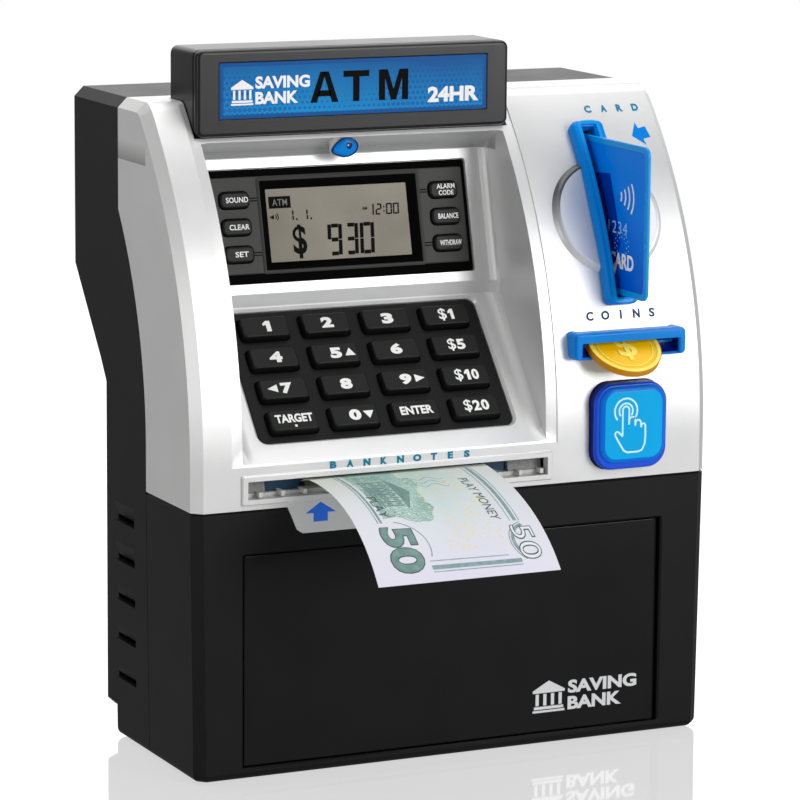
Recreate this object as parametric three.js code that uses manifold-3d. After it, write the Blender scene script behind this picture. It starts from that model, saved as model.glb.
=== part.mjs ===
// Toy cash-machine savings bank: a plastic housing with a keypad, a display, slots for a card,
// coins and notes, a feed roller driven by a small motor, and a cash door with a latch.
//
// Millimetres, +Z up, X to the right, the front faces -Y. The parts are placed from the front face
// (y = 0) and the table (z = 0), and the last group moves them so that the origin is at the middle
// of the object's footprint.
import * as THREE from 'three';
import { mergeVertices } from 'three/addons/utils/BufferGeometryUtils.js';
import Module from 'manifold-3d';

const wasm = await Module();
wasm.setup();

// ---- driving dimensions ------------------------------------------------------------------------

const bodyWidth = 190;
const bodyTop = 219.4;
const footHeight = 0.6;
const splitHeight = 90.8; // the silver front shell stands on the black housing here
const edgeChamfer = 3.3;
const wall = 2.4;
const gap = 0.3; // clearance between neighbours
const draft = 0.989; // width of the foot of the housing over its width at the split

const arcStart = 105; // the front face is upright below this height and curves back above it
const arcRadius = 166;
const topRound = 8;

const seamY = 41.4; // front shells meet the rear cover here
const seamRadius = 136;
const seamTopY = 65.5;

const rearTopY = 105.5;
const rearTopBottom = 159; // the deep upper part of the rear cover ends here
const rearBoxY = 82;
const rearBoxTop = 129.7;
const rearBoxInset = 2;
const rearBoxBottom = 9;
const sideEndY = 70.3;

const faceX = -22.3; // centre line of sign, display, keypad and note slot
const recessLeft = -77.7;
const recessRight = 33;
const displayTilt = 14;
const keypadTilt = 41;
const displayCentre = [45.0, 177.0]; // y, z on the silver surface
const keypadCentre = [22.6, 130.4];

const accessoryX = 63; // centre line of card slot, coin slot and touch button
const hinge = { x: 75.1, y: 2.7, r: 1.8 };

const halfWidth = bodyWidth / 2;
const hiddenEdge = 20; // how far cutters run past what they cut

// ---- geometry helpers --------------------------------------------------------------------------

// A three.js geometry as a manifold solid.
function solid(geometry) {
  const bare = geometry.clone();
  bare.deleteAttribute('normal');
  bare.deleteAttribute('uv');
  const merged = mergeVertices(bare, 1e-4);
  return new wasm.Manifold(new wasm.Mesh({
    numProp: 3,
    vertProperties: new Float32Array(merged.attributes.position.array),
    triVerts: new Uint32Array(merged.index.array),
  }));
}

// A manifold solid as a three.js geometry.
function geometryOf(manifold) {
  const mesh = manifold.getMesh();
  const geometry = new THREE.BufferGeometry();
  geometry.setAttribute('position', new THREE.BufferAttribute(new Float32Array(mesh.vertProperties), 3));
  geometry.setIndex(new THREE.BufferAttribute(new Uint32Array(mesh.triVerts), 1));
  geometry.computeVertexNormals();
  return geometry;
}

function boxGeometry(x0, x1, y0, y1, z0, z1) {
  const geometry = new THREE.BoxGeometry(x1 - x0, y1 - y0, z1 - z0);
  return geometry.translate((x0 + x1) / 2, (y0 + y1) / 2, (z0 + z1) / 2);
}

const box = (...limits) => solid(boxGeometry(...limits));

function shapeOf(points) {
  return new THREE.Shape(points.map(([a, b]) => new THREE.Vector2(a, b)));
}

// An outline in the YZ plane, extruded from x0 to x1, with an optional chamfer on both ends.
function prismX(outline, x0, x1, chamfer = 0) {
  const geometry = new THREE.ExtrudeGeometry(shapeOf(outline), {
    depth: x1 - x0 - 2 * chamfer,
    bevelEnabled: chamfer > 0,
    bevelThickness: chamfer,
    bevelSize: chamfer,
    bevelOffset: -chamfer,
    bevelSegments: 1,
  });
  geometry.applyMatrix4(new THREE.Matrix4().makeBasis(
    new THREE.Vector3(0, 1, 0),
    new THREE.Vector3(0, 0, 1),
    new THREE.Vector3(1, 0, 0),
  ));
  return solid(geometry.translate(x0 + chamfer, 0, 0));
}

// An outline in the XY plane, extruded from z0 to z1.
function prismZ(outline, z0, z1) {
  const geometry = new THREE.ExtrudeGeometry(shapeOf(outline), { depth: z1 - z0, bevelEnabled: false });
  return solid(geometry.translate(0, 0, z0));
}

// An outline in the XZ plane, extruded from y0 to y1.
function prismY(outline, y0, y1) {
  const geometry = new THREE.ExtrudeGeometry(shapeOf(outline), { depth: y1 - y0, bevelEnabled: false });
  geometry.rotateX(Math.PI / 2);
  return solid(geometry.translate(0, y1, 0));
}

// A cylinder along X, Y or Z between two coordinates, centred on the other two.
function rod(axis, radius, from, to, centreA, centreB, sides = 16) {
  const geometry = new THREE.CylinderGeometry(radius, radius, to - from, sides);
  const middle = (from + to) / 2;
  if (axis === 'x') {
    geometry.rotateZ(Math.PI / 2).translate(middle, centreA, centreB);
  } else if (axis === 'y') {
    geometry.translate(centreA, middle, centreB);
  } else {
    geometry.rotateX(Math.PI / 2).translate(centreA, centreB, middle);
  }
  return solid(geometry);
}

function roundedRectangle(width, height, radius, steps = 2) {
  const points = [];
  const corners = [[1, 1, 0], [-1, 1, 90], [-1, -1, 180], [1, -1, 270]];
  for (const [sx, sy, start] of corners) {
    for (let i = 0; i <= steps; i += 1) {
      const angle = THREE.MathUtils.degToRad(start + 90 * i / steps);
      points.push([
        sx * (width / 2 - radius) + radius * Math.cos(angle),
        sy * (height / 2 - radius) + radius * Math.sin(angle),
      ]);
    }
  }
  return points;
}

// A rounded plate in its own frame: its back is at `back`, its front at `front` along +Z, with a
// chamfer round the front.
function plateGeometry(width, height, radius, back, front, chamfer, steps = 2) {
  const geometry = new THREE.ExtrudeGeometry(shapeOf(roundedRectangle(width, height, radius, steps)), {
    depth: front - back - 2 * chamfer,
    bevelEnabled: chamfer > 0,
    bevelThickness: chamfer,
    bevelSize: chamfer,
    bevelOffset: -chamfer,
    bevelSegments: 1,
  });
  return geometry.translate(0, 0, back + chamfer);
}

const plate = (...sizes) => solid(plateGeometry(...sizes));

// A frame on the front: local x to the right, y up the slope, z out of the surface.
function slopedFrame(x, y, z, tilt) {
  const frame = new THREE.Group();
  frame.position.set(x, y, z);
  frame.rotation.x = THREE.MathUtils.degToRad(90 - tilt);
  frame.updateMatrix();
  return frame;
}

// A solid made in a frame, carried into the body's own coordinates.
const inBody = (manifold, frame) => solid(geometryOf(manifold).applyMatrix4(frame.matrix));

// ---- colours -----------------------------------------------------------------------------------

const finish = {
  silver: { color: 0xc9cbcd, roughness: 0.38, metalness: 0.45 },
  black: { color: 0x141416, roughness: 0.42, metalness: 0 },
  gloss: { color: 0x0c0c0e, roughness: 0.2, metalness: 0 },
  key: { color: 0x101012, roughness: 0.55, metalness: 0 },
  blue: { color: 0x0d74e0, roughness: 0.3, metalness: 0 },
  gold: { color: 0xf2a413, roughness: 0.3, metalness: 0.8 },
  paper: { color: 0xe6e2ea, roughness: 0.85, metalness: 0 },
  glass: { color: 0x8b8474, roughness: 0.15, metalness: 0 },
  board: { color: 0x1d6b39, roughness: 0.5, metalness: 0 },
  steel: { color: 0x9a9ca0, roughness: 0.3, metalness: 0.9 },
  white: { color: 0xe4e4e0, roughness: 0.5, metalness: 0 },
  rubber: { color: 0x1f2f55, roughness: 0.8, metalness: 0 },
};

function part(name, manifold, look) {
  const mesh = new THREE.Mesh(geometryOf(manifold), new THREE.MeshStandardMaterial(finish[look]));
  mesh.name = name;
  return mesh;
}

// ---- outlines of the body ----------------------------------------------------------------------

// The front face and the top in the YZ plane, moved inwards by `inset`, from the foot upwards.
function frontLine(inset, steps = 10) {
  const points = [[inset, -hiddenEdge]];
  const roundCentreZ = bodyTop - topRound;
  const rise = roundCentreZ - arcStart;
  const reach = Math.sqrt((arcRadius - topRound) ** 2 - rise ** 2);
  const arcEnd = Math.atan2(rise, reach);
  for (let i = 0; i <= steps; i += 1) {
    const angle = arcEnd * i / steps;
    const radius = arcRadius - inset;
    points.push([arcRadius - radius * Math.cos(angle), arcStart + radius * Math.sin(angle)]);
  }
  for (let i = 1; i <= 3; i += 1) {
    const angle = THREE.MathUtils.lerp(arcEnd, Math.PI / 2, i / 3);
    const radius = topRound - inset;
    points.push([arcRadius - reach - radius * Math.cos(angle), roundCentreZ + radius * Math.sin(angle)]);
  }
  return points;
}

// The whole body, closed far behind the seam.
const bodyOutline = (inset) => [
  ...frontLine(inset),
  [rearTopY + hiddenEdge, bodyTop - inset],
  [rearTopY + hiddenEdge, -hiddenEdge],
];

// The seam between the front shells and the rear cover, from the top downwards, moved by `shift`.
function seamLine(shift, steps = 6) {
  const seamArcEnd = Math.acos(1 - (seamTopY - seamY) / seamRadius);
  const points = [[seamTopY + shift, bodyTop + hiddenEdge]];
  for (let i = steps; i >= 0; i -= 1) {
    const angle = seamArcEnd * i / steps;
    points.push([
      seamY + shift + seamRadius * (1 - Math.cos(angle)),
      arcStart + seamRadius * Math.sin(angle),
    ]);
  }
  return points;
}

const upperBody = prismX(bodyOutline(0), -halfWidth, halfWidth, edgeChamfer);
const upperCavity = prismX(bodyOutline(wall), wall - halfWidth, halfWidth - wall);

// The lower body narrows a little towards its foot. `inset` moves its walls inwards.
function lowerBody(inset, z0, z1) {
  const x = halfWidth - inset;
  const corner = inset > 0 ? 0.01 : edgeChamfer;
  const outline = [
    [-x, inset + corner], [-x + corner, inset], [x - corner, inset], [x, inset + corner],
    [x, rearTopY + hiddenEdge], [-x, rearTopY + hiddenEdge],
  ];
  const geometry = new THREE.ExtrudeGeometry(shapeOf(outline), { depth: z1 - z0, bevelEnabled: false });
  geometry.translate(0, 0, z0);
  const position = geometry.attributes.position;
  for (let i = 0; i < position.count; i += 1) {
    const narrowing = THREE.MathUtils.mapLinear(position.getZ(i), footHeight, splitHeight, draft, 1);
    position.setX(i, position.getX(i) * Math.min(narrowing, 1));
  }
  return solid(geometry);
}

// ---- sloped areas of the face ------------------------------------------------------------------

const displayFrame = slopedFrame(faceX, ...displayCentre, displayTilt);
const keypadFrame = slopedFrame(faceX, ...keypadCentre, keypadTilt);
const displayRun = Math.tan(THREE.MathUtils.degToRad(displayTilt));
const keypadRun = Math.tan(THREE.MathUtils.degToRad(keypadTilt));
const displayY = (z) => displayCentre[0] + displayRun * (z - displayCentre[1]);
const keypadY = (z) => keypadCentre[0] + keypadRun * (z - keypadCentre[1]);

const ceilingHeight = 206.6; // top of the recess, a thin lip under the sign
const displaySurfaceTop = 199;
const displaySurfaceBottom = 155;
const keypadSurfaceTop = 150.6;
const signBottom = 208.2;
const keypadSurfaceBottom = keypadCentre[1] - keypadCentre[0] / keypadRun;

// The floor of the recess in the YZ plane, from the lip under the sign down to the front face.
function recessFloor() {
  const lipY = arcRadius - Math.sqrt(arcRadius ** 2 - (ceilingHeight - arcStart) ** 2);
  const coveEndY = displayY(displaySurfaceTop);
  const points = [];
  for (let i = 0; i <= 4; i += 1) {
    const angle = Math.PI / 2 * i / 4;
    points.push([
      coveEndY - (coveEndY - lipY) * (1 - Math.sin(angle)),
      displaySurfaceTop + (ceilingHeight - displaySurfaceTop) * Math.cos(angle),
    ]);
  }
  points.push([displayY(displaySurfaceBottom), displaySurfaceBottom]);
  points.push([keypadY(keypadSurfaceTop), keypadSurfaceTop]);
  points.push([0, keypadSurfaceBottom]);
  return points;
}

const recessCut = [...recessFloor(), [-hiddenEdge, keypadSurfaceBottom - hiddenEdge / keypadRun],
  [-hiddenEdge, ceilingHeight]];
const floorThickness = 3;
const recessBlock = [
  [-hiddenEdge, signBottom - gap],
  [58, signBottom - gap],
  [displayY(displaySurfaceTop) + floorThickness, displaySurfaceTop],
  [displayY(displaySurfaceBottom) + floorThickness, displaySurfaceBottom - 1],
  [keypadY(keypadSurfaceTop) + 1.5 * floorThickness, keypadSurfaceTop - 1],
  [2.3, keypadSurfaceBottom - 2.2],
  [-hiddenEdge, keypadSurfaceBottom - 2.2],
];

// ---- sizes on the face -------------------------------------------------------------------------

const bezel = { width: 95.2, height: 38.2, front: -0.4, back: -2.3, pocket: 2.6 };
const lcdWindow = { width: 52, height: 24.6, frameWidth: 57.6, frameHeight: 28.6, depth: 1.2 };
const pad = { width: 92.8, height: 50, front: -1, back: -2.7, pocket: 3 };
const padKey = { width: 17, height: 7.9, pitchX: 22.2, pitchY: 12.05, top: 1.5, bottom: -5 };
const functionKey = { width: 10.6, height: 5.5, reach: 38.6, pitch: 9.1, top: 0.9, bottom: -4.4, rise: 8.9 };

const padKeyRows = [
  ['key_1', 'key_2', 'key_3', 'key_plus_1'],
  ['key_4', 'key_5', 'key_6', 'key_plus_5'],
  ['key_7', 'key_8', 'key_9', 'key_plus_10'],
  ['key_target', 'key_0', 'key_enter', 'key_plus_20'],
];
const functionKeyColumns = [
  ['key_sound', 'key_clear', 'key_set'],
  ['key_alarm', 'key_balance', 'key_withdraw'],
];

const padKeyPlaces = padKeyRows.flatMap((row, j) => row.map((name, i) => (
  { name, x: (i - 1.5) * padKey.pitchX, y: (1.5 - j) * padKey.pitchY })));
const functionKeyPlaces = functionKeyColumns.flatMap((column, i) => column.map((name, j) => (
  { name, x: (2 * i - 1) * functionKey.reach, y: functionKey.rise - j * functionKey.pitch })));

const noteSlot = { left: -76.4, right: 33, bottom: 94.3, top: 100.3, rim: 1.9, proud: 1 };
const cardSlot = { width: 4.6, bottom: 151.2, top: 206.4 };
const coinSlot = { width: 37, height: 4.6, y: -1, z: 136.8, tilt: 35 };
const touch = { width: 27.6, height: 29.6, z: 109.2, radius: 7, front: -5.5 };

// The tab under the note slot hangs over the housing. `grow` widens it for the notch it sits in.
const tabOutline = (grow) => [
  [-62.5 - grow, splitHeight + 1],
  [-61 - grow, 88.5],
  [-58.5 - grow, 81.6],
  [-54.5, 79 - grow],
  [10, 79 - grow],
  [14 + grow, 81.6],
  [16.5 + grow, 88.5],
  [18 + grow, splitHeight + 1],
];

// The coin's own frame: x along the slot, y up and inwards along the coin's path, z out of its face.
const coinFrame = slopedFrame(accessoryX, coinSlot.y, coinSlot.z, 90 - coinSlot.tilt);

// ---- casing ------------------------------------------------------------------------------------

function makeFrontShell() {
  const region = prismX([
    [-hiddenEdge, splitHeight], [-hiddenEdge, bodyTop + hiddenEdge],
    ...seamLine(-gap / 2), [seamY - gap / 2, splitHeight],
  ], -bodyWidth, bodyWidth);
  const outer = upperBody.intersect(region);
  const block = prismX(recessBlock, recessLeft - wall, recessRight + wall).intersect(outer);
  let shell = outer.subtract(upperCavity).add(block);
  shell = shell.add(prismY(tabOutline(0), 0, wall));
  shell = shell.add(box(
    noteSlot.left - noteSlot.rim, noteSlot.right + noteSlot.rim, -noteSlot.proud, wall,
    noteSlot.bottom - noteSlot.rim, noteSlot.top + noteSlot.rim,
  ));
  shell = shell.subtract(prismX(recessCut, recessLeft, recessRight));
  shell = shell.subtract(box(sign.left - gap, sign.right + gap, -hiddenEdge, sign.back + gap,
    signBottom - gap, bodyTop + hiddenEdge));
  const cuts = [
    inBody(plate(bezel.width + 2 * gap, bezel.height + 2 * gap, 1, -bezel.pocket, 8, 0), displayFrame),
    inBody(plate(bezel.width - 4, bezel.height - 4, 1, -hiddenEdge, 8, 0), displayFrame),
    inBody(plate(pad.width + 2 * gap, pad.height + 2 * gap, 3, -pad.pocket, 8, 0), keypadFrame),
    inBody(plate(pad.width - 4, pad.height - 4, 2, -hiddenEdge, 8, 0), keypadFrame),
    box(noteSlot.left, noteSlot.right, -hiddenEdge, wall + 0.5, noteSlot.bottom, noteSlot.top),
    box(accessoryX - cardSlot.width / 2, accessoryX + cardSlot.width / 2, -hiddenEdge, 50,
      cardSlot.bottom, cardSlot.top),
    inBody(box(-coinSlot.width / 2, coinSlot.width / 2, -hiddenEdge, hiddenEdge,
      -coinSlot.height / 2, coinSlot.height / 2), coinFrame),
    inBody(plate(touch.width + 2 * gap, touch.height + 2 * gap, touch.radius, -hiddenEdge, 8, 0, 3),
      slopedFrame(accessoryX, 0, touch.z, 0)),
    inBody(eyeDisc(gap, -hiddenEdge, 6), eyeFrame),
  ];
  return cuts.reduce((body, cut) => body.subtract(cut), shell);
}

function makeLowerHousing() {
  const region = box(-bodyWidth, bodyWidth, -hiddenEdge, seamY - gap / 2, footHeight, splitHeight - gap);
  let housing = lowerBody(0, footHeight, splitHeight - gap).intersect(region);
  housing = housing.subtract(lowerBody(wall, footHeight + wall, splitHeight + hiddenEdge));
  // Brackets above and below the door hold its pegs.
  housing = housing.add(box(hinge.x - 3.5, halfWidth - wall - 1, 1, 7, door.top + 0.5, door.top + 4));
  housing = housing.add(box(hinge.x - 3.5, halfWidth - wall - 2, 1, 7, 2, door.bottom - 0.5));
  housing = housing.subtract(box(door.left - 0.4, door.right + 0.4, -hiddenEdge, 2 * wall,
    door.bottom - 0.4, door.top + 0.4));
  housing = housing.subtract(prismY(tabOutline(gap), -hiddenEdge, wall + gap));
  const pegHole = rod('z', 1.5, door.bottom - 2.4, door.top + 3, hinge.x, hinge.y, 12);
  return housing.subtract(pegHole);
}

// The rear cover's own outline in the YZ plane; `inset` moves its back inwards.
function rearOutline(inset) {
  const slope = Math.atan2(rearTopY - rearBoxY, rearTopBottom - rearBoxTop);
  const shift = inset * Math.tan((Math.PI / 2 - slope) / 4);
  const points = [[rearTopY - inset, rearTopBottom + shift], [rearBoxY - inset, rearBoxTop + shift]];
  const bend = 20;
  for (let i = 0; i <= 4; i += 1) {
    const angle = (Math.PI / 2 - slope / 2) * i / 4;
    points.push([
      sideEndY - inset + (rearBoxY - sideEndY) * (1 - Math.sin(angle)) * 0.55,
      rearBoxTop - bend + bend * 0.62 * Math.cos(angle),
    ]);
  }
  return [
    [rearTopY - inset, bodyTop + hiddenEdge], ...points, [sideEndY - inset, -hiddenEdge],
  ];
}

function makeRearCover() {
  const overlap = 0.05;
  const lowerTop = splitHeight + overlap;
  const lowerRegion = box(-bodyWidth, bodyWidth, seamY + gap / 2, rearTopY, footHeight, lowerTop);
  const upperRegion = prismX([...seamLine(gap / 2), [seamY + gap / 2, splitHeight],
    [rearTopY + hiddenEdge, splitHeight], [rearTopY + hiddenEdge, bodyTop + hiddenEdge]],
  -bodyWidth, bodyWidth);
  const body = upperBody.intersect(upperRegion).add(lowerBody(0, footHeight, lowerTop).intersect(lowerRegion));
  const profile = (inset) => prismX([[-hiddenEdge, -hiddenEdge], [-hiddenEdge, bodyTop + hiddenEdge],
    ...rearOutline(inset)], -bodyWidth, bodyWidth);
  const rearBox = (inset) => box(rearBoxInset - halfWidth + inset, halfWidth - rearBoxInset - inset,
    60, rearBoxY - inset, rearBoxBottom + inset, rearBoxTop - 1.5 * inset);
  const cavity = upperCavity.intersect(box(-bodyWidth, bodyWidth, -hiddenEdge, 200, splitHeight - 1, 300))
    .add(lowerBody(wall, footHeight + wall, lowerTop))
    .intersect(profile(wall))
    .add(rearBox(wall));
  let cover = body.intersect(profile(0)).add(rearBox(0)).subtract(cavity);

  // Battery compartment, open to the back, with a ledge for its cover.
  const cell = batteryBox;
  cover = cover.add(box(cell.left - 1.5, cell.right + 1.5, cell.front - 1.5, rearBoxY,
    cell.bottom - 1.5, cell.top + 1.5));
  cover = cover.subtract(box(cell.left, cell.right, cell.front, rearBoxY + 5, cell.bottom, cell.top));
  cover = cover.subtract(box(cell.left - 4, cell.right + 4, rearBoxY - 1.7, rearBoxY + 5,
    cell.bottom - 4, cell.top + 8));
  cover = cover.add(rod('y', 3.2, rearBoxY - 9, rearBoxY - 1.7, cell.screwX, cell.screwZ, 12));
  cover = cover.subtract(rod('y', 1.5, rearBoxY - 7.5, rearBoxY, cell.screwX, cell.screwZ, 12));

  // Scooped air slots near the back edge of both sides.
  for (let i = 0; i < 5; i += 1) {
    const z = 21.1 + 13.7 * i;
    for (const side of [-1, 1]) {
      const scoop = new THREE.ExtrudeGeometry(
        shapeOf([[halfWidth - 3.4, z], [halfWidth + 2, z], [halfWidth + 2, z + 8], [halfWidth - 0.4, z + 6.3],
          [halfWidth - 2, z + 1.6], [halfWidth - 3.4, z + 1.6]]),
        { depth: sideEndY + 1 - 52.5, bevelEnabled: false },
      );
      scoop.rotateX(Math.PI / 2).translate(0, sideEndY + 1, 0);
      if (side < 0) {
        scoop.rotateZ(Math.PI).translate(0, sideEndY + 1 + 52.5, 0);
      }
      cover = cover.subtract(solid(scoop));
    }
  }
  const s = powerSwitch;
  return cover.subtract(box(s.x - s.slot / 2, s.x + s.slot / 2, rearTopY - 5, rearTopY + 5, s.z - 2.2, s.z + 2.2));
}

const sign = { left: -79.3, right: 34.7, front: 35.2, back: 58.5, top: 236.9 };
const signPanel = { width: 97.6, height: 18.4, z: 223.3, thickness: 1.4 };

function makeSignHousing() {
  const width = sign.right - sign.left;
  const height = sign.top - signBottom;
  const frame = slopedFrame((sign.left + sign.right) / 2, sign.front, (sign.top + signBottom) / 2, 0);
  const outer = plate(width, height, 2.2, sign.front - sign.back, 0, 1.2);
  const inner = box(wall - width / 2, width / 2 - wall, wall - height / 2, height / 2 - wall,
    sign.front - sign.back - 5, -4.2);
  const panelZ = signPanel.z - (sign.top + signBottom) / 2;
  const pocket = box(-signPanel.width / 2 - gap, signPanel.width / 2 + gap,
    panelZ - signPanel.height / 2 - gap, panelZ + signPanel.height / 2 + gap, -2, 5);
  return inBody(outer.subtract(inner).subtract(pocket), frame);
}

function makeSignPanel() {
  const y = sign.front + 0.3;
  return box(faceX - signPanel.width / 2, faceX + signPanel.width / 2, y, y + signPanel.thickness,
    signPanel.z - signPanel.height / 2, signPanel.z + signPanel.height / 2);
}

const batteryBox = {
  left: -29, right: 29, front: 64, bottom: 15, top: 63, screwX: 0, screwZ: 67.4,
};

function makeBatteryCover() {
  const b = batteryBox;
  const cover = box(b.left - 3.7, b.right + 3.7, rearBoxY - 1.4, rearBoxY + 0.2, b.bottom - 3.7, b.top + 7.7);
  return cover.subtract(rod('y', 1.8, rearBoxY - 3, rearBoxY + 3, b.screwX, b.screwZ, 12));
}

function makeBatteryCoverScrew() {
  const b = batteryBox;
  const shank = rod('y', 1.2, rearBoxY - 7, rearBoxY + 0.6, b.screwX, b.screwZ, 12);
  const head = rod('y', 2.8, rearBoxY + 0.5, rearBoxY + 1.8, b.screwX, b.screwZ, 12);
  const slot = box(b.screwX - 0.4, b.screwX + 0.4, rearBoxY + 1.1, rearBoxY + 3, b.screwZ - 2, b.screwZ + 2);
  return shank.add(head).subtract(slot);
}

const door = { left: -77, right: 76.9, bottom: 4.9, top: 75.4, front: 0.9, back: 3.1 };
const lug = { left: -70, right: -68, back: 10, bottom: 62, top: 72 };
const bolt = { left: -66, right: -50, front: 5.2, back: 8.2, bottom: 65.4, top: 68.4 };

function makeCashDoor() {
  let panel = box(door.left, hinge.x, door.front, door.back, door.bottom, door.top);
  panel = panel.add(rod('z', hinge.r, door.bottom, door.top, hinge.x, hinge.y, 16));
  panel = panel.add(rod('z', 1.1, door.bottom - 2, door.top + 2.6, hinge.x, hinge.y, 12));
  panel = panel.add(box(lug.left, lug.right, door.front + 1, lug.back, lug.bottom, lug.top));
  return panel.subtract(box(lug.left - 1, lug.right + 1, bolt.front - 0.4, bolt.back + 0.4,
    bolt.bottom - 0.4, bolt.top + 0.4));
}

// ---- face --------------------------------------------------------------------------------------

function makeDisplayBezel() {
  let body = plate(bezel.width, bezel.height, 1, bezel.back, bezel.front, 0.5);
  body = body.subtract(plate(lcdWindow.frameWidth, lcdWindow.frameHeight, 0.5,
    bezel.front - lcdWindow.depth, bezel.front + 3, 0));
  body = body.subtract(box(-lcdWindow.width / 2, lcdWindow.width / 2, -lcdWindow.height / 2,
    lcdWindow.height / 2, bezel.back - 2, bezel.front + 3));
  for (const { x, y } of functionKeyPlaces) {
    const hole = box(-functionKey.width / 2 - gap, functionKey.width / 2 + gap,
      -functionKey.height / 2 - gap, functionKey.height / 2 + gap, bezel.back - 2, bezel.front + 3);
    body = body.subtract(hole.translate([x, y, 0]));
  }
  return inBody(body, displayFrame);
}

function makeLcdScreen() {
  const screen = box(-28, 28, -14, 14, bezel.back - 2.4, bezel.back - 0.3);
  return inBody(screen, displayFrame);
}

function makeKeypadPlate() {
  let body = plate(pad.width, pad.height, 3, pad.back, pad.front, 0.4);
  for (const { x, y } of padKeyPlaces) {
    const hole = box(-padKey.width / 2 - gap, padKey.width / 2 + gap, -padKey.height / 2 - gap,
      padKey.height / 2 + gap, pad.back - 2, pad.front + 3);
    body = body.subtract(hole.translate([x, y, 0]));
  }
  return inBody(body, keypadFrame);
}

function makeKey(size, place, frame) {
  const body = plate(size.width, size.height, 1.2, size.bottom, size.top, 0.5);
  return inBody(body.translate([place.x, place.y, 0]), frame);
}

const eyeFrame = slopedFrame(faceX, 43.5, 202.2, -40);

// The lens over the display is an oval disc.
function eyeDisc(grow, back, front) {
  const geometry = new THREE.CylinderGeometry(1, 1, front - back, 16);
  geometry.rotateX(Math.PI / 2).scale(4.4 + grow, 3.1 + grow, 1);
  return solid(geometry.translate(0, 0, (front + back) / 2));
}

// The card bezel follows the curved front face, standing proud of it.
function makeCardBezel() {
  const band = (proud, from, to) => {
    const points = [];
    const backPoints = [];
    for (let i = 0; i <= 8; i += 1) {
      const z = THREE.MathUtils.lerp(from, to, i / 8);
      const y = arcRadius - Math.sqrt(arcRadius ** 2 - (z - arcStart) ** 2);
      points.push([y - proud, z]);
      backPoints.unshift([y - gap, z]);
    }
    return [...backPoints, ...points];
  };
  const half = 6.2;
  const outer = prismX(band(4.2, 149, 208.6), accessoryX - half, accessoryX + half, 0.8);
  const slot = box(accessoryX - cardSlot.width / 2, accessoryX + cardSlot.width / 2, -hiddenEdge, 60,
    cardSlot.bottom, cardSlot.top);
  return outer.subtract(slot);
}

function makeCoinBezel() {
  const frame = slopedFrame(accessoryX, 0, 137, 0);
  const slantedBack = prismX([[-hiddenEdge, 120], [-hiddenEdge, 150],
    [faceDepth(150) - gap, 150], [faceDepth(137) - gap, 137], [faceDepth(120) - gap, 120]],
  accessoryX - 40, accessoryX + 40);
  const ring = inBody(plate(42.4, 9.2, 1.2, -6, 3.2, 0.8), frame).intersect(slantedBack);
  const channel = inBody(box(-coinSlot.width / 2, coinSlot.width / 2, -hiddenEdge, hiddenEdge,
    -coinSlot.height / 2, coinSlot.height / 2), coinFrame);
  return ring.subtract(channel);
}

// Depth of the front face at a height.
function faceDepth(z) {
  return z < arcStart ? 0 : arcRadius - Math.sqrt(arcRadius ** 2 - (z - arcStart) ** 2);
}

function makeTouchButton() {
  const frame = slopedFrame(accessoryX, 0, touch.z, 0);
  const cap = plate(touch.width, touch.height, touch.radius, -4, -touch.front, 1.6, 3);
  return inBody(cap.add(box(-4, 4, -4, 4, -6.5, -3)), frame);
}

// ---- accessories -------------------------------------------------------------------------------

function makeCard() {
  const cardLength = 85.6;
  const front = -13;
  const bottom = 152.2;
  const top = 205.4;
  return box(accessoryX - 0.5, accessoryX + 0.5, front, front + cardLength, bottom, top);
}

function makeCoin() {
  const coin = new THREE.CylinderGeometry(13.25, 13.25, 2.4, 32).rotateX(Math.PI / 2);
  return inBody(solid(coin).translate([0, 2, 0]), coinFrame);
}

const noteHeight = 96.8; // where the note passes between the rollers
const note = { width: 64.8, inside: 62, crest: 99.1, tipY: -56, tipZ: 75.9, thickness: 0.3 };

// The note's path in the YZ plane: flat inside, over the slot's sill, then down to its free end.
function notePath() {
  const bend = new THREE.CubicBezierCurve(
    new THREE.Vector2(12, noteHeight), new THREE.Vector2(4, noteHeight + 0.3),
    new THREE.Vector2(4, note.crest + 0.2), new THREE.Vector2(0.5, note.crest),
  );
  const droop = new THREE.QuadraticBezierCurve(
    new THREE.Vector2(0.5, note.crest), new THREE.Vector2(-18, 94), new THREE.Vector2(note.tipY, note.tipZ),
  );
  return [new THREE.Vector2(note.inside, noteHeight), ...bend.getPoints(5), ...droop.getPoints(8).slice(1)];
}

function makeBanknote() {
  const path = notePath();
  const lower = path.map((p) => [p.x, p.y]);
  const upper = path.map((p) => [p.x, p.y + note.thickness]).reverse();
  return prismX([...lower, ...upper], faceX - note.width / 2, faceX + note.width / 2);
}

// ---- inside ------------------------------------------------------------------------------------

const roller = { y: 13, z: 101.8, radius: 4.5, shaft: 1.5 };
const pinch = { y: 13, z: 93.05, radius: 3.5, shaft: 1.2 };
const gearModule = 0.8;
const gearTeeth = 20;
const pinionTeeth = 10;
const gearLeft = 38.5;
const gearRight = 43;
const motorY = roller.y + gearModule * (gearTeeth + pinionTeeth) / 2;

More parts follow.
